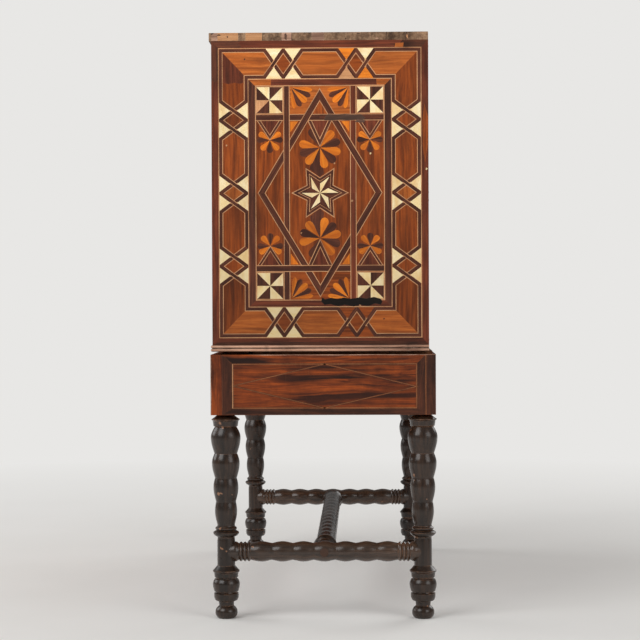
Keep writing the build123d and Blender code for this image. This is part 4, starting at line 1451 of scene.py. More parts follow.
@dataclass
class FriezeEnd:
    """One end of the frieze: strips, mitred frame, figured panel and a lozenge of string."""

    side: int
    face_x: float = 536.0
    middle: Point = (13.5, 471.5)
    half: Point = (225.2, 60.3)
    left: float = -202.0
    right: float = 205.5
    panel: tuple[float, float, float, float] = (-181.0, 187.0, -46.5, 41.5)

    def build(self, shop: Workshop) -> None:
        """Lay the whole frieze end.

        Args:
            shop: makes and places the pieces.
        """
        face = Face(
            (self.side * self.face_x, self.middle[0], self.middle[1]), (0.0, float(self.side), 0.0)
        )
        work = Marquetry(
            "right_frieze_marquetry" if self.side > 0 else "left_frieze_marquetry", face,
            seed=31 + self.side
        )
        flip = (1.0, 1.0) if self.side > 0 else (-1.0, 1.0)
        drawing = Drawing(work, stretch=flip)
        w, h = self.half
        a, b, c, d = self.panel
        left, right = self.left, self.right
        middle = [(a, c), (b, c), (b, d), (a, d)]
        lozenge = [(a, -2.0), (3.0, c), (b, -4.0), (3.0, d)]
        for points, wood, grain, tone in (
            ([(-w, -h), (left, -h), (left, h), (-w, h)], Wood.FRIEZE, 90, 0.1),
            ([(right, -h), (w, -h), (w, h), (right, h)], Wood.SMOKED, 90, 0.1),
            ([(left, -h), (a, c), (a, d), (left, h)], Wood.SMOKED, 90, 0.1),
            ([(right, -h), (right, h), (b, d), (b, c)], Wood.SMOKED, 90, 0.1),
            ([(left, h), (a, d), (b, d), (right, h)], Wood.FRIEZE, 0, 0.06),
            ([(left, -h), (right, -h), (b, c), (a, c)], Wood.SMOKED, 0, 0.06),
            (middle, Wood.FRIEZE, 0, 0.02)
        ):
            drawing.cut(points, wood, grain, 0, tone)
        for points, width in ((middle, 1.5), (lozenge, 1.1)):
            drawing.line(points, width + 1.7, Wood.SMOKED, 0.8)
            drawing.line(points, width, Wood.FINE_STRING, 1.2)
        drawing.line([(a, c), (a, d)], 1.7, Wood.STRING, 1.6, closed=False)
        for x in (left, right):
            drawing.line(
                [(x, -h), (x, h)], 1.2, Wood.DARK if x < 0 else Wood.FINE_STRING, 1, closed=False
            )
        drawing.cut([
            (-152, h), (-120, h - 1.2), (-60, h - 0.7), (30, h - 1.5), (110, h - 0.8),
            (160, h - 1.7), (w, h - 1.0), (w, h)
        ], Wood.BEAD, 0, 1.6, 0.02, -0.12)
        drawing.cut([
            (-w, h), (-w, -h), (-w + 1.0, -h), (-w + 1.6, -20), (-w + 0.8, 12), (-w + 1.7, 38),
            (-w + 1.0, h)
        ], Wood.BEAD, 90, 1.6, 0.02, -0.35)
        work.build(shop, "root", "frieze_veneer")


Member = tuple[float, float, float | None]


@dataclass
class Turning:
    """A lathe-turned piece: members with a length, an end radius and a fullest radius."""

    members: list[Member]
    start_radius: float
    fullest_place: float = 0.5
    around: int = 56
    soft_foot: float = 0.0
    soft_head: float = 0.0
    crease: float = 38.0

    def profile(self) -> list[Point]:
        """Give radius and station of every ring, in millimetres.

        Returns:
            The rings from the foot up.
        """
        rings = [(self.start_radius, 0.0)]
        station = 0.0
        radius = self.start_radius
        for length, end, fullest in self.members:
            if fullest is None:
                rings.append((end, station + length))
            else:
                steps = 6 if length < 16 else 14
                for i in range(1, steps + 1):
                    share = i / steps
                    place = self.fullest_place
                    rising = share < place
                    foot = radius if rising else end
                    swell = math.sin(
                        (share / place if rising else (1 - share) / (1 - place)) * math.pi / 2
                    )
                    softness = self.soft_foot if rising else self.soft_head
                    swell += (swell * swell - swell) * softness
                    rings.append((foot + (fullest - foot) * swell, station + length * share))
            station += length
            radius = end
        return rings

    def build(
        self, shop: Workshop, name: str, start: Triple, along: Axis, finish: Material,
        sign: float = 1.0
    ) -> Piece:
        """Spin the profile into one closed mesh.

        Args:
            shop: makes the mesh.
            name: the piece's name.
            start: place of the first ring's middle in millimetres.
            along: the axis that the piece was turned on.
            finish: its material.
            sign: which way along the axis it runs.

        Returns:
            The turned piece.
        """
        rings = self.profile()
        kept = [
            ring for i, ring in enumerate(rings) if i == 0 or math.dist(ring, rings[i - 1]) > 0.02
        ]
        points: list[Vector] = []
        for radius, station in kept:
            for i in range(self.around):
                angle = 2 * math.pi * i / self.around
                points.append(
                    self._placed(
                        radius * math.cos(angle), radius * math.sin(angle), station * sign, start,
                        along
                    )
                )
        faces = []
        n = self.around
        for ring in range(len(kept) - 1):
            for i in range(n):
                j = (i + 1) % n
                faces.append([ring * n + i, ring * n + j, (ring + 1) * n + j, (ring + 1) * n + i])
        for ring, station in ((0, kept[0][1]), (len(kept) - 1, kept[-1][1])):
            pole = len(points)
            points.append(self._placed(0.0, 0.0, station * sign, start, along))
            faces += [[ring * n + i, ring * n + (i + 1) % n, pole] for i in range(n)]
        made = shop.mesh(name, points, faces, finish)
        shop.outward(made)
        shade_by_angle(made, self.crease)
        return made

    @staticmethod
    def _placed(a: float, b: float, station: float, start: Triple, along: Axis) -> Vector:
        """Place a ring's point along the chosen axis."""
        local = {Axis.X: (station, a, b), Axis.Y: (a, station, b), Axis.Z: (a, b, station)}[along]
        return (Vector(start) + Vector(local)) * MM


def shade_by_angle(piece: Piece, degrees: float) -> None:
    """Shade smoothly except over edges sharper than an angle.

    Args:
        piece: the piece.
        degrees: the sharpest angle that stays smooth.
    """
    piece.data.shade_smooth()
    shape = bmesh.new()
    shape.from_mesh(piece.data)
    limit = math.radians(degrees)
    for edge in shape.edges:
        edge.smooth = len(edge.link_faces) == 2 and edge.calc_face_angle(0.0) < limit
    shape.to_mesh(piece.data)
    shape.free()


LEG_MEMBERS: list[Member] = [
    (1.0, 17.4, None), (2.0, 19.7, None), (3.0, 21.5, None), (3.5, 22.4, None), (3.5, 22.5, None),
    (3.5, 21.8, None), (3.0, 20.4, None), (2.5, 18.4, None), (2.0, 16.2, None), (1.2, 14.8, None),
    (9.0, 15.6, None), (1.0, 20.6, None), (1.6, 22.6, None), (13.4, 24.8, 25.0), (1.2, 21.4, None),
    (1.6, 21.0, None), (1.2, 24.4, None), (24.4, 24.2, 27.4), (1.4, 21.2, None), (1.6, 21.2, None),
    (1.2, 23.6, None), (9.0, 24.6, None), (2.2, 26.9, None), (2.4, 27.1, None), (1.2, 25.4, None),
    (8.6, 18.0, None), (50.0, 18.0, None), (11.0, 23.0, 17.4), (9.0, 22.0, 26.2), (0.0, 19.0, None),
    (9.0, 18.2, 21.8), (3.0, 17.5, None), (47.0, 20.0, 22.4), (48.0, 22.0, 25.2),
    (49.0, 23.0, 28.0), (54.0, 22.0, 30.0), (1.6, 24.6, None), (10.4, 26.0, None),
    (2.0, 28.4, None), (1.6, 28.4, None), (1.4, 25.6, None), (8.0, 15.4, None), (0.4, 8.0, None),
]


@dataclass
class Stand:
    """The turned legs and stretchers."""

    leg_x: float = 508.0
    leg_rows: tuple[float, float] = (-184.0, 213.0)
    axis_height: float = 134.0
    middle_y: float = 14.5
    ring: float = 8.0
    bobbins: int = 7
    bobbin: float = 42.4
    medial_bobbins: int = 14
    wood: Wood = Wood.TURNED

    def build(self, shop: Workshop) -> None:
        """Turn every piece of the stand and put it in place.

        Args:
            shop: makes and places the pieces.
        """
        finishes = {Axis.Z: shop.woods[self.wood]}
        finishes[Axis.X] = shop.turned_along(self.wood, Axis.X)
        # The end stretchers take the lighter copy of the turned wood, which is painted light from
        # above
        finishes[Axis.Y] = shop.turned_along(Wood.RUBBED, Axis.Y)
        leg = Turning(LEG_MEMBERS, 16.0, 0.6, soft_foot=0.06)
        for side, label in ((1, "right"), (-1, "left")):
            for row, place in zip(self.leg_rows, ("front", "back")):
                made = leg.build(
                    shop, f"{label}_{place}_leg_turned", (side * self.leg_x, row, 0.0), Axis.Z,
                    finishes[Axis.Z]
                )
                shop.place(made, "root", "turned_wood", f"{label}_{place}_leg")
            made = self.end_stretcher().build(
                shop, f"{label}_end_stretcher_turned",
                (side * self.leg_x, self.leg_rows[0] + 2, self.axis_height), Axis.Y,
                finishes[Axis.Y]
            )
            shop.place(made, "root", "turned_wood", f"{label}_end_stretcher")
            self._tenon(shop, side, label)
        reach = self.leg_x - 10
        made = self.medial(reach).build(
            shop, "medial_stretcher_turned", (-reach, self.middle_y, self.axis_height), Axis.X,
            finishes[Axis.X]
        )
        shop.place(made, "root", "turned_wood", "medial_stretcher")

    def end_stretcher(self) -> Turning:
        """Give the profile of a stretcher between the two legs of one end.

        Returns:
            The turning.
        """
        rings: list[Member] = [(self.ring, 17.0, 19.9)] * 3
        bobbins: list[Member] = [(self.bobbin, 17.0, 20.5)] * self.bobbins
        span = self.leg_rows[1] - self.leg_rows[0] - 4
        plain = (span - 2 * self.ring * 3 - self.bobbin * self.bobbins) / 2
        knob: list[Member] = [(plain * 0.4, 18.6, None), (plain * 0.6, 17.0, 20.2)]
        tail: list[Member] = [(plain * 0.6, 18.6, 20.2), (plain * 0.4, 17.2, None)]
        return Turning(knob + rings + bobbins + rings + tail, 17.2, soft_foot=0.35, soft_head=0.35)

    def medial(self, reach: float) -> Turning:
        """Give the profile of the long stretcher.

        Args:
            reach: half its length.

        Returns:
            The turning.
        """
        neck, knob = 52.0, 14.0
        length = 2 * (reach - neck - knob) / self.medial_bobbins
        head: list[Member] = [(neck, 18.0, None), (knob, 22.0, 25.0)]
        bobbins: list[Member] = [(length, 17.2, 20.5)] * self.medial_bobbins
        tail: list[Member] = [(knob, 18.0, 25.0), (neck, 18.0, None)]
        return Turning(head + bobbins + tail, 18.0, soft_foot=0.4, soft_head=0.4)

    def _tenon(self, shop: Workshop, side: int, label: str) -> None:
        """Show the end of the long stretcher's tenon in the middle bobbin.

        Args:
            shop: makes and places the pieces.
            side: 1 for the right end, -1 for the left.
            label: the end's name.
        """
        end = Turning([
            (1.9, 8.8, None), (0.5, 8.2, None), (0.12, 5.0, None), (0.08, 0.6, None)
        ], 8.8, around=32)
        made = end.build(
            shop, f"{label}_tenon_end",
            (side * (self.leg_x + 18.3), self.middle_y, self.axis_height), Axis.X,
            shop.woods[Wood.SCORCH], sign=side
        )
        shop.place(made, "root", "turned_wood")


@dataclass
class Pull:
    """A small turned pull: neck, bulb and button."""

    members: tuple[Member, ...]
    start: float

    def build(self, shop: Workshop, name: str, place: Triple, body: str, slot: str) -> None:
        """Turn the pull out of a front and fix it to its drawer or door."""
        made = Turning(list(self.members), self.start, around=28).build(
            shop, name, place, Axis.Y, shop.turned_along(Wood.TURNED, Axis.Y), sign=-1
        )
        shop.place(made, body, slot)


# Width of the door's rounded hanging edge, which carries no inlay
DOOR_ROUND = 7.2
# How far the door's pull stands in from its free edge
DOOR_PULL_INSET = 26
# How far the pulls of the nest and the knobs of the stand stand out
NEST_REACH = 10
KNOB_REACH = 20
NEST_PULL = Pull(
    ((0.6, 5.6, None), (0.6, 4.2, None), (1.9, 3.7, 3.6), (6.6, 2.3, 7.1), (0.25, 1.0, None)), 5.8
)
STAND_KNOB = Pull(
    ((0.8, 11.0, None), (1.0, 8.0, None), (4.2, 7.4, 7.3), (13.6, 4.4, 13.1), (0.3, 1.5, None)),
    11.2
)


@dataclass
class DrawerFront:
    """Inlay of one drawer or door front: cross band, string, lozenge and corner leaves."""

    node: str
    face_y: float
    pull: Pull
    slot: str
    band: float = 14.0
    pull_at: Point = (0.0, 0.0)
    seed: int = 5
    hanging: float = 0.0

    def build(self, shop: Workshop) -> None:
        """Lay the front, clear of a rounded hanging edge, and set its pull.

        Args:
            shop: makes and places the pieces.
        """
        low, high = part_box(self.node)
        low, high = Vector(low) / MM, Vector(high) / MM
        half = ((high.x - low.x - self.hanging) / 2, (high.z - low.z) / 2)
        centre = ((low.x + high.x + self.hanging) / 2, self.face_y, (low.z + high.z) / 2)
        work = Marquetry(f"{self.node}_inlay", Face(centre, (1.0, 0.0, 0.0)), seed=self.seed)
        drawing = Drawing(work)
        edge = (half[0] - 0.4, half[1] - 0.4)
        inner = (edge[0] - self.band, edge[1] - self.band)
        drawing.frame(edge, inner, (Wood.REDWOOD, Wood.REDWOOD), 0, 0.14)
        drawing.cut(rectangle(*inner), Wood.ROSEWOOD, 0, 0, 0.12)
        drawing.line(rectangle(*inner), 2.0, Wood.BONE, 1)
        a, b = inner[0] - 7, inner[1] - 7
        drawing.strap(
            [(a, 0.0), (0.0, b), (-a, 0.0), (0.0, -b)], [2, 2, 2, 2], min(9.0, b * 0.24), True
        )
        petals = {d: (Wood.ORANGE if i % 2 else Wood.BONE) for i, d in enumerate(range(0, 360, 45))}
        size = min(a, b) * 0.42
        drawing.rosette((0.0, 0.0), size, size * 0.17, petals)
        for su in (-1, 1):
            for sv in (-1, 1):
                corner = (su * (inner[0] - 5), sv * (inner[1] - 5))
                toward = math.degrees(math.atan2(-sv * b, -su * a))
                for turn_by, wood in ((0.0, Wood.BONE), (24.0, Wood.ORANGE), (-24.0, Wood.ORANGE)):
                    drawing.petal(
                        corner, toward + turn_by, min(a, b) * 0.45, min(a, b) * 0.06, wood
                    )
        work.build(shop, self.node, self.slot)
        place = (
            centre[0] - self.hanging / 2 + self.pull_at[0], self.face_y + 0.2,
            centre[2] + self.pull_at[1]
        )
        self.pull.build(shop, f"{self.node}_pull_turned", place, self.node, self.slot)


@dataclass
class FallFront:
    """Both faces of the fall: strapwork outside, a lighter panel inside."""

    outer_y: float = -208.0
    inner_y: float = -188.0
    middle: float = 855.3
    half: Point = (506.6, 303.6)
    string: Point = (492.3, 289.3)
    border_outer: Point = (488.2, 285.1)
    border_inner: Point = (437.4, 232.1)
    knots: tuple[float, ...] = (-360.0, -240.0, -120.0, 0.0, 120.0, 240.0, 360.0)
    frame_outer: Point = (433.1, 228.0)
    field_edge: Point = (418.4, 214.3)
    bay: float = 279.0
    bay_stretch: float = 1.085
    inner_half: float = 486.0
    inner_foot: float = 604.0
    inner_band: float = 26.0

    def build(self, shop: Workshop) -> None:
        """Lay both faces.

        Args:
            shop: makes and places the pieces.
        """
        work = Marquetry(
            "fall_marquetry", Face((0.0, self.outer_y, self.middle), (1.0, 0.0, 0.0)), seed=51
        )
        drawing = Drawing(work)
        drawing.frame(self.half, self.string, (Wood.REDWOOD, Wood.REDWOOD), 0, 0.12)
        StrapBorder(self.border_outer, self.border_inner, end_knots=self.knots).lay(drawing)
        drawing.frame(self.frame_outer, self.field_edge, (Wood.DARK, Wood.DARK), 0.5)
        drawing.line(rectangle(*self.field_edge), 1.8, Wood.STRING, 7)
        for bay in (-self.bay, 0.0, self.bay):
            StrapField().lay(Drawing(work, (bay, 0.0), (self.bay_stretch, 1.0)))
        for edge in (-self.bay / 2, self.bay / 2):
            drawing.line([(edge, -214.0), (edge, 214.0)], 3.0, Wood.STRING, 7, closed=False)
        work.build(shop, "fall", "case_veneer")
        self._inside(shop)

    def _inside(self, shop: Workshop) -> None:
        """Lay the panel on the writing side, below the lock.

        Args:
            shop: makes and places the pieces.
        """
        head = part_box("lock_case")[0][2] / MM - 14
        half = (self.inner_half, (head - self.inner_foot) / 2)
        face = Face((0.0, self.inner_y, (head + self.inner_foot) / 2), (-1.0, 0.0, 0.0))
        work = Marquetry("fall_inside_marquetry", face, seed=61)
        drawing = Drawing(work)
        inner = (half[0] - self.inner_band, half[1] - self.inner_band)
        drawing.frame(half, inner, (Wood.REDWOOD, Wood.REDWOOD), 0, 0.1)
        drawing.line(rectangle(*half), 2.2, Wood.STRING, 2)
        drawing.line(rectangle(*inner), 2.2, Wood.STRING, 2)
        for column in (-1, 0, 1):
            width = inner[0] * 2 / 3
            x = column * width
            drawing.cut([
                (x - width / 2, -inner[1]), (x + width / 2, -inner[1]), (x + width / 2, inner[1]),
                (x - width / 2, inner[1])
            ], Wood.ROSEWOOD, 0, 0, 0.14)
            a, b = width / 2 - 14, inner[1] - 14
            drawing.strap([(x + a, 0.0), (x, b), (x - a, 0.0), (x, -b)], [2, 2, 2, 2], 12.0, True)
            petals = {
                float(d): (Wood.ORANGE if i % 2 else Wood.DARK)
                for i, d in enumerate(range(0, 360, 36))
            }
            if column:
                drawing.rosette((x, 0.0), 52.0, 7.0, petals)
            else:
                drawing.star((0.0, 0.0), 40.0, 20.0, 60.0, 32.0)
        work.build(shop, "fall", "case_veneer")


@dataclass
class TopEdge:
    """Old pins, nail holes and a split in the ends of the top board."""

    side: int
    face_x: float = 530.0
    case_y: float = 9.0
    height: float = 1168.0

    def build(self, shop: Workshop) -> None:
        """Lay the marks of one end of the top.

        Args:
            shop: makes and places the pieces.
        """
        face = Face(
            (self.side * self.face_x, self.case_y, self.height), (0.0, float(self.side), 0.0)
        )
        work = Marquetry("right_top_edge" if self.side > 0 else "left_top_edge", face, seed=71)
        drawing = Drawing(work)
        s = self.side
        parts = [
            (-216.5, -204, Wood.BEAD, -0.08), (-204, -163, Wood.STRING, -0.16),
            (-163, -148, Wood.TOP, 0.12), (-148, -115, Wood.STRING, -0.1),
            (-115, -75.6, Wood.TOP, 0.0), (-75.6, -55, Wood.BEAD, -0.1),
            (-55, -15.7, Wood.TOP, 0.0), (-15.7, 9, Wood.BEAD, -0.34), (9, 52, Wood.TOP, -0.05),
            (52, 87, Wood.TOP, 0.14), (87, 133, Wood.TOP, 0.04), (133, 172, Wood.TOP, -0.02),
            (172, 195, Wood.TOP, 0.16), (195, 216.5, Wood.TOP, 0.5),
        ]
        for low, high, wood, shade in parts:
            drawing.cut([
                (s * low, -7.9), (s * high, -7.9), (s * high, 7.9), (s * low, 7.9)
            ], wood, 0, 0, 0.03, shade)
        marks = [
            ([
                (-70, -4.6), (-66, -7.8), (-64.8, 0.6), (-66.2, 6.4), (-69.8, 5.6)
            ], Wood.SCORCH, 1.0),
            ([(-56.2, -7.8), (-55, -7.8), (-54.6, 7.8), (-55.8, 7.8)], Wood.SCORCH, 1.0),
            ([(132, -7.8), (133.2, -7.8), (134.6, 7.8), (132.8, 7.8)], Wood.SCORCH, 1.0),
            ([(171, -7.8), (172.4, -7.8), (174.6, 7.8), (172.6, 7.8)], Wood.SCORCH, 1.0),
            ([(173, -2), (177, -6.4), (176.4, 0.6), (174, 3.4)], Wood.STRING, 1.4),
            ([(-206, 3.0), (-202, 5.2), (-196, 4.0), (-200, 2.2)], Wood.SCORCH, 1.2),
            ([(-216.4, 7.8), (-216.4, 3.6), (-211, 7.8)], Wood.SCORCH, 1.2),
            ([
                (-186, -0.6), (-184, -1.9), (-182.2, -0.4), (-183.4, 1.6), (-185.6, 1.2)
            ], Wood.SCORCH, 1.3),
            ([(51, -6.2), (53.2, -6.8), (54.4, -5), (52.6, -3.4), (50.8, -4.2)], Wood.SCORCH, 1.3),
            ([(110, -5.2), (116, -6.4), (119, -4.4), (113, -3.6)], Wood.BEAD, 1.2),
            ([(76, 3.2), (82, 4.4), (80, 5.8), (74, 5.0)], Wood.SCORCH, 1.2),
        ]
        for points, wood, level in marks:
            drawing.cut([(s * x, y) for x, y in points], wood, 90, level, 0.04)
        work.build(shop, "root", "bare_wood")


@dataclass
class NailRow:
    """A row of hand-made nail heads, made with Geometry Nodes."""

    name: str
    start: Triple
    step: Triple
    count: int
    radius: float
    out: Axis
    body: str = "root"
    slot: str = "iron"

    def _tree(self) -> NodeTree:
        """Build the node tree, once for all rows.

        Returns:
            The node tree.
        """
        if "nail_row" in bpy.data.node_groups:
            return bpy.data.node_groups["nail_row"]
        group = bpy.data.node_groups.new("nail_row", "GeometryNodeTree")
        for label, kind in (
            ("Count", "NodeSocketInt"), ("Start", "NodeSocketVector"), ("Step", "NodeSocketVector"),
            ("Radius", "NodeSocketFloat"), ("Flatten", "NodeSocketVector"),
            ("Finish", "NodeSocketMaterial")
        ):
            group.interface.new_socket(label, in_out="INPUT", socket_type=kind)
        group.interface.new_socket("Geometry", in_out="OUTPUT", socket_type="NodeSocketGeometry")
        tree = Tree(group)
        given = tree.add("NodeGroupInput").outputs
        line = tree.add("GeometryNodeMeshLine", {
            "Count": given["Count"], "Start Location": given["Start"], "Offset": given["Step"]
        }, mode="OFFSET")
        head = tree.add("GeometryNodeMeshIcoSphere", {"Radius": given["Radius"], "Subdivisions": 3})
        flat = tree.add(
            "GeometryNodeTransform", {"Geometry": head.outputs[0], "Scale": given["Flatten"]}
        )
        size = tree.add("FunctionNodeRandomValue", {2: 0.85, 3: 1.12, "Seed": 7}, data_type="FLOAT")
        spin = tree.add("FunctionNodeRandomValue", {
            0: (-0.12, -0.12, -0.12), 1: (0.12, 0.12, 0.12), "Seed": 9
        }, data_type="FLOAT_VECTOR")
        set_on = tree.add("GeometryNodeInstanceOnPoints", {
            "Points": line.outputs[0], "Instance": flat.outputs[0], "Rotation": spin.outputs[0],
            "Scale": size.outputs[1]
        })
        real = tree.add("GeometryNodeRealizeInstances", {0: set_on.outputs[0]})
        done = tree.add(
            "GeometryNodeSetMaterial", {"Geometry": real.outputs[0], "Material": given["Finish"]}
        )
        tree.add("NodeGroupOutput", {0: done.outputs[0]})
        return group

    def build(self, shop: Workshop) -> None:
        """Bake the row to a plain mesh and fix it to its body.

        Args:
            shop: makes and places the pieces.
        """
        group = self._tree()
        holder = shop.mesh(f"{self.name}_row", [(0, 0, 0)], [], shop.iron)
        row = holder.modifiers.new("row", "NODES")
        row.node_group = group
        flat = {Axis.X: (0.4, 1.0, 1.0), Axis.Y: (1.0, 0.4, 1.0), Axis.Z: (1.0, 1.0, 0.4)}[self.out]
        values = {
            "Count": self.count, "Start": tuple(v * MM for v in self.start),
            "Step": tuple(v * MM for v in self.step), "Radius": self.radius * MM, "Flatten": flat,
            "Finish": shop.iron
        }
        for item in group.interface.items_tree:
            if item.in_out == "INPUT":
                row[item.identifier] = values[item.name]
        bpy.context.view_layer.update()
        ready = holder.evaluated_get(bpy.context.evaluated_depsgraph_get())
        data = bpy.data.meshes.new_from_object(ready)
        holder.modifiers.remove(row)
        bpy.data.objects.remove(holder)
        data.shade_smooth()
        shop.place(linked(self.name, data), self.body, self.slot)


@dataclass
class BeadMoulding:
    """Two worn beads that run along a path at the foot of the case."""

    name: str
    path: tuple[Point, ...]
    body: str
    node: str
    floor: float = 538.0
    # Out, up and tone of each corner of the section: the tones paint shade into the hollow between
    # the beads and where they meet the case, and light onto their crests, partly as a painted
    # highlight and partly as wear
    profile: tuple[Triple, ...] = (
        (-0.6, 0.2, -0.8), (0.5, 0.2, -0.8), (1.9, 0.5, -0.4), (2.9, 1.4, 0.05), (3.4, 2.9, 0.3),
        (3.3, 4.3, 0.3), (2.6, 5.4, -0.1), (1.5, 6.1, -0.62), (0.4, 6.5, -0.86), (0.4, 7.1, -0.86),
        (1.6, 7.5, -0.55), (2.7, 8.3, -0.05), (3.3, 9.5, 0.26), (3.2, 10.8, 0.3), (2.4, 12.0, 0.0),
        (1.1, 12.8, -0.5), (-0.6, 12.9, -0.8),
    )
    pitch: float = 6.0
    crease: float = 50.0
    dent: float = 0.3
    nick: float = 1.3
    nick_chance: float = 0.035

    def build(self, shop: Workshop) -> None:
        """Sweep the profile along the path, worn unevenly and painted with light and shade, and fix
        it.

        Args:
            shop: makes and places the pieces.
        """
        chance = random.Random(self.name)
        path = self._fine()
        offsets = [Strap.offset(path, out, False) for out, _, _ in self.profile]
        points, tones, faces = [], [], []
        count = len(self.profile)
        for i in range(len(path)):
            dent = chance.uniform(-self.dent, 0.0) if 0 < i < len(path) - 1 else 0.0
            nick = -self.nick if chance.random() < self.nick_chance else 0.0
            for k, (out, up, tone) in enumerate(self.profile):
                x, y = offsets[k][i]
                if out > 2.5 and 0 < i < len(path) - 1:
                    dx, dy = path[i][0] - x, path[i][1] - y
                    share = -(dent + nick) / out
                    x, y = x + dx * share, y + dy * share
                points.append(Vector((x, y, self.floor + up)) * MM)
                # Each nick is painted darker, as painted shade in the dent
                tones.append(tone + chance.uniform(-0.07, 0.05) + nick * 0.25)
        for i in range(len(path) - 1):
            for k in range(count):
                m = (k + 1) % count
                faces.append(
                    [i * count + k, (i + 1) * count + k, (i + 1) * count + m, i * count + m]
                )
        last = (len(path) - 1) * count
        faces += [list(range(count)), [last + k for k in range(count - 1, -1, -1)]]
        along = Axis.X if self.body == "fall" else Axis.Y
        made = shop.mesh(self.name, points, faces, shop.turned_along(Wood.BEAD, along))
        shop.tone(made, tones)
        shop.outward(made)
        shade_by_angle(made, self.crease)
        shop.place(made, self.body, "moulding_wood", self.node)

    def _fine(self) -> list[Point]:
        """Divide the path into short stretches.

        Returns:
            The divided path.
        """
        fine: list[Point] = []
        for here, there in zip(self.path, self.path[1:]):
            steps = max(1, round(math.dist(here, there) / self.pitch))
            fine += [
                (
                    here[0] + (there[0] - here[0]) * i / steps,
                    here[1] + (there[1] - here[1]) * i / steps
                )
                for i in range(steps)
            ]
        return fine + [self.path[-1]]


# Each run of beads along the foot of the case, with the body that carries it
BEAD_RUNS = (
    ("right_end", ((530.0, 226.0), (530.0, -208.0), (508.2, -208.0)), "root"),
    ("left_end", ((-508.2, -208.0), (-530.0, -208.0), (-530.0, 226.0)), "root"),
    ("fall", ((506.6, -208.0), (-506.6, -208.0)), "fall"),
)


# The small drawers on both sides of the cupboard
SIDE_DRAWERS = tuple(f"{side}_drawer_{row}" for side in ("right", "left") for row in (1, 2, 3))


def dress_frame(shop: Workshop) -> None:
    """Give every CAD node that stays its finish.

    Args:
        shop: makes and places the pieces.
    """
    along = shop.turned_along
    shop.dress(shop.woods[Wood.TOP], "top_board")
    shop.dress(shop.woods[Wood.BACK], "back_boards")
    shop.dress(
        shop.woods[Wood.BAND], "right_end_board", "left_end_board", "right_upright", "left_upright"
    )
    shop.dress(shop.woods[Wood.BEAD], "right_end_moulding", "left_end_moulding")
    shop.dress(along(Wood.BEAD, Axis.X), "fall_moulding")
    shop.dress(along(Wood.BAND, Axis.X), "fall_front")
    shop.dress(
        shop.woods[Wood.INNER], "bottom_board", "right_bay_shelves", "left_bay_shelves",
        "centre_bay_shelves", "stand_deck"
    )
    shop.dress(along(Wood.INNER, Axis.Z), "corner_blocks")
    shop.dress(along(Wood.INNER, Axis.Y), "drawer_runners", "loper_channels")
    shop.dress(along(Wood.ROSEWOOD, Axis.Y), "right_loper", "left_loper")
    shop.dress(
        along(Wood.FRIEZE, Axis.X), "frieze_front_frame", "frieze_back", "right_stand_drawer",
        "left_stand_drawer"
    )
    shop.dress(along(Wood.FRIEZE, Axis.Z), "frieze_stiles")
    shop.dress(along(Wood.FRIEZE, Axis.Y), "right_frieze_end", "left_frieze_end")
    shop.dress(shop.woods[Wood.DRAWER], *SIDE_DRAWERS, "centre_drawer")
    shop.dress(along(Wood.ROSEWOOD, Axis.Z), "cupboard_door")
    shop.dress(
        shop.iron, "hinge_fixed_leaves", "hinge_moving_leaves", "hinge_pins", "lock_plate",
        "lock_case", "lock_bolt", "key", "cupboard_door_pivots"
    )


def front_of(node: str, pull_length: float) -> float:
    """Give the place of a node's front face, behind its pull, in millimetres."""
    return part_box(node)[0][1] / MM + pull_length


def fit_nest(shop: Workshop) -> None:
    """Dress the fronts of the inner drawers, the cupboard door and the stand drawers.

    Args:
        shop: makes and places the pieces.
    """
    seeds = dict(zip(SIDE_DRAWERS, range(80, 86)), centre_drawer=90)
    for name, seed in seeds.items():
        DrawerFront(
            name, front_of(name, NEST_REACH), NEST_PULL, "drawer_wood", seed=seed
        ).build(shop)
    low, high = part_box("cupboard_door")
    at_lock = ((high[0] - low[0]) / MM / 2 - DOOR_PULL_INSET, 0.0)
    front = front_of("cupboard_door", NEST_REACH)
    DrawerFront(
        "cupboard_door", front, NEST_PULL, "drawer_wood", 18.0, at_lock, 91, DOOR_ROUND
    ).build(shop)
    for name in ("right_stand_drawer", "left_stand_drawer"):
        DrawerFront(
            name, front_of(name, KNOB_REACH), STAND_KNOB, "frieze_veneer", 10.0, seed=95
        ).build(shop)


@dataclass
class BackBoards:
    """The seam between the two back boards and the nails that hold them."""

    face_y: float = 226.0
    half_length: float = 529.0
    seam: float = 849.0
    nail_rows: tuple[float, ...] = (560.0, 841.0, 857.0, 1150.0)
    first_nail: float = -500.0
    nail_step: float = 200.0
    nails: int = 6

    def build(self, shop: Workshop) -> None:
        """Lay the seam and drive the nails.

        Args:
            shop: makes and places the pieces.
        """
        work = Marquetry("back_seam", Face((0.0, self.face_y, self.seam), (-1.0, 0.0, 0.0)))
        path = [(-self.half_length, 0.0), (self.half_length, 0.0)]
        Drawing(work).line(path, 1.6, Wood.SCORCH, 0, closed=False)
        work.build(shop, "root", "bare_wood")
        for height in self.nail_rows:
            start = (self.first_nail, self.face_y + 0.2, height)
            row = NailRow(
                f"back_nails_{int(height)}", start, (self.nail_step, 0.0, 0.0), self.nails, 3.4,
                Axis.Y
            )
            row.build(shop)


@dataclass
class LockStuds:
    """Studs that hold the lock plate: three below and two above the keyhole."""

    face_y: float = -210.2
    reach: float = 56.0
    rows: tuple[tuple[float, int], ...] = ((1035.0, 3), (1147.0, 2))

    def build(self, shop: Workshop) -> None:
        """Drive both rows of studs.

        Args:
            shop: makes and places the pieces.
        """
        for height, count in self.rows:
            start = (-self.reach, self.face_y, height)
            step = (2 * self.reach / (count - 1), 0.0, 0.0)
            NailRow(
                f"lock_studs_{int(height)}", start, step, count, 3.6, Axis.Y, "fall"
            ).build(shop)


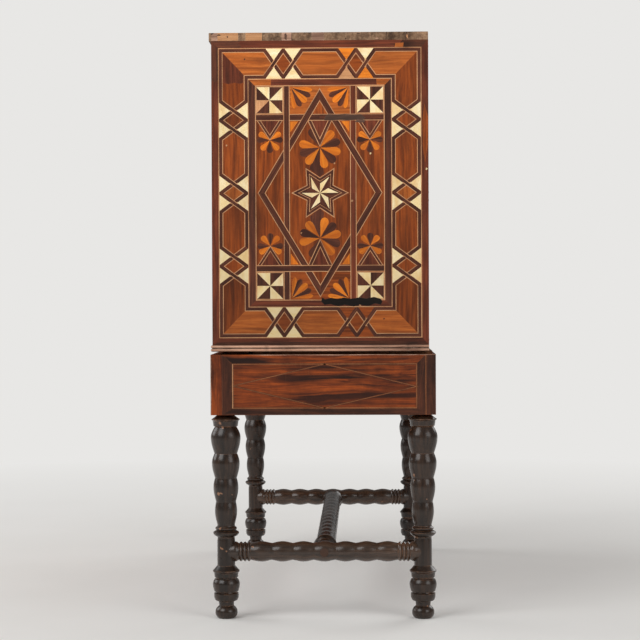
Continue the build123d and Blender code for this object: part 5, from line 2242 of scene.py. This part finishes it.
@dataclass
class Studio:
    """Pale floor, soft lamps and the camera."""

    camera: Triple = (4.2538, 0.0968, 0.6504)
    yaw: float = 1.3687
    pitch: float = 0.7605
    roll: float = -0.2356
    focal_pixels: float = 1860.7
    image: float = 640.0
    sensor: float = 36.0
    sight: float = 100.0
    backdrop: tuple[int, int, int] = (232, 231, 229)
    floor_reach: float = 30.0
    floor_fade: Point = (0.9, 3.2)
    soft_light: Colour = (1.0, 0.985, 0.965, 1.0)
    soft_strength: float = 0.42
    glossy_strength: float = 0.2
    lamps: tuple[tuple[str, Triple, float, float, float], ...] = (
        ("key_lamp", (3.4, -3.2, 3.6), 0.75, 3.2, 118.0),
        ("side_lamp", (3.6, 3.4, 2.2), 0.7, 2.6, 52.0),
        ("front_lamp", (-1.5, -4.6, 2.6), 0.7, 3.0, 70.0),
        ("back_lamp", (-3.6, 3.2, 3.0), 0.7, 3.0, 60.0),
    )

    def build(self) -> None:
        """Set up floor, world, lamps and camera."""
        self._floor()
        self._world()
        for lamp in self.lamps:
            self._lamp(*lamp)
        self._camera()
        bpy.context.scene.view_settings.view_transform = "Standard"

    def _floor(self) -> None:
        """Lay the floor."""
        data = bpy.data.meshes.new("floor")
        corners = rectangle(self.floor_reach, self.floor_reach)
        data.from_pydata([(*corner, 0.0) for corner in corners], [], [[0, 1, 2, 3]])
        made, tree = blank_material("pale_floor")
        place = tree.add("ShaderNodeTexCoord").outputs["Object"]
        cloud = tree.noise(place, 3.0, 4.0)
        colour = tree.mix(cloud, srgb(236, 235, 232), srgb(242, 241, 239))
        shader = tree.add("ShaderNodeBsdfPrincipled", {"Base Color": colour, "Roughness": 0.8})
        away = tree.add("ShaderNodeVectorMath", {0: place}, operation="LENGTH").outputs["Value"]
        rays = tree.add("ShaderNodeLightPath").outputs
        fade = tree.times(tree.band(away, *self.floor_fade), rays["Is Camera Ray"])
        plain = tree.add("ShaderNodeEmission", {"Color": srgb(*self.backdrop), "Strength": 1.0})
        both = tree.add("ShaderNodeMixShader", {0: fade, 1: shader.outputs[0], 2: plain.outputs[0]})
        tree.add("ShaderNodeOutputMaterial", {0: both.outputs[0]})
        data.materials.append(made)
        linked("floor", data)

    def _world(self) -> None:
        """Light softly from all round, with a plain pale backdrop."""
        world = bpy.data.worlds.new("studio")
        bpy.context.scene.world = world
        world.use_nodes = True
        world.node_tree.nodes.clear()
        tree = Tree(world.node_tree)
        rays = tree.add("ShaderNodeLightPath").outputs
        strength = tree.add("ShaderNodeMix", {
            "Factor": rays["Is Glossy Ray"], "A": self.soft_strength, "B": self.glossy_strength
        }).outputs["Result"]
        soft = tree.add("ShaderNodeBackground", {"Color": self.soft_light, "Strength": strength})
        plain = tree.add("ShaderNodeBackground", {"Color": srgb(*self.backdrop), "Strength": 1.0})
        both = tree.add("ShaderNodeMixShader", {
            0: rays["Is Camera Ray"], 1: soft.outputs[0], 2: plain.outputs[0]
        })
        tree.add("ShaderNodeOutputWorld", {0: both.outputs[0]})

    def _lamp(self, name: str, place: Triple, aim: float, size: float, power: float) -> None:
        """Hang one square soft lamp that looks at the object's middle line.

        Args:
            name: the lamp's name.
            place: where it hangs, in metres.
            aim: the height that it looks at.
            size: length of its sides.
            power: its power in watts.
        """
        data = bpy.data.lights.new(name, "AREA")
        data.shape = "SQUARE"
        data.size = size
        data.energy = power
        lamp = linked(name, data)
        lamp.location = place
        lamp.rotation_euler = (
            Vector((0.0, 0.0, aim)) - Vector(place)
        ).to_track_quat("-Z", "Y").to_euler()

    def _camera(self) -> None:
        """Place the camera."""
        data = bpy.data.cameras.new("camera")
        data.sensor_width = self.sensor
        data.lens = self.focal_pixels * self.sensor / self.image
        data.clip_end = self.sight
        camera = linked("camera", data)
        yaw, pitch = math.radians(self.yaw), math.radians(self.pitch)
        aim = Vector(
            (-math.cos(yaw) * math.cos(pitch), -math.sin(yaw) * math.cos(pitch), -math.sin(pitch))
        )
        level = aim.to_track_quat("-Z", "Y").to_matrix()
        rolled = (level @ Matrix.Rotation(math.radians(self.roll), 3, "Z")).to_4x4()
        camera.matrix_world = Matrix.Translation(self.camera) @ rolled
        bpy.context.scene.camera = camera


def main() -> None:
    """Build every sub-assembly in order."""
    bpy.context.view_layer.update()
    Studio().build()
    shop = Workshop()
    dress_frame(shop)
    for side in (1, -1):
        CaseEnd(side).build(shop)
        FriezeEnd(side).build(shop)
        TopEdge(side).build(shop)
    for name, path, body in BEAD_RUNS:
        BeadMoulding(f"{name}_beads", path, body, f"{name}_moulding").build(shop)
    Stand().build(shop)
    FallFront().build(shop)
    fit_nest(shop)
    BackBoards().build(shop)
    LockStuds().build(shop)


if __name__ == "__main__":
    main()
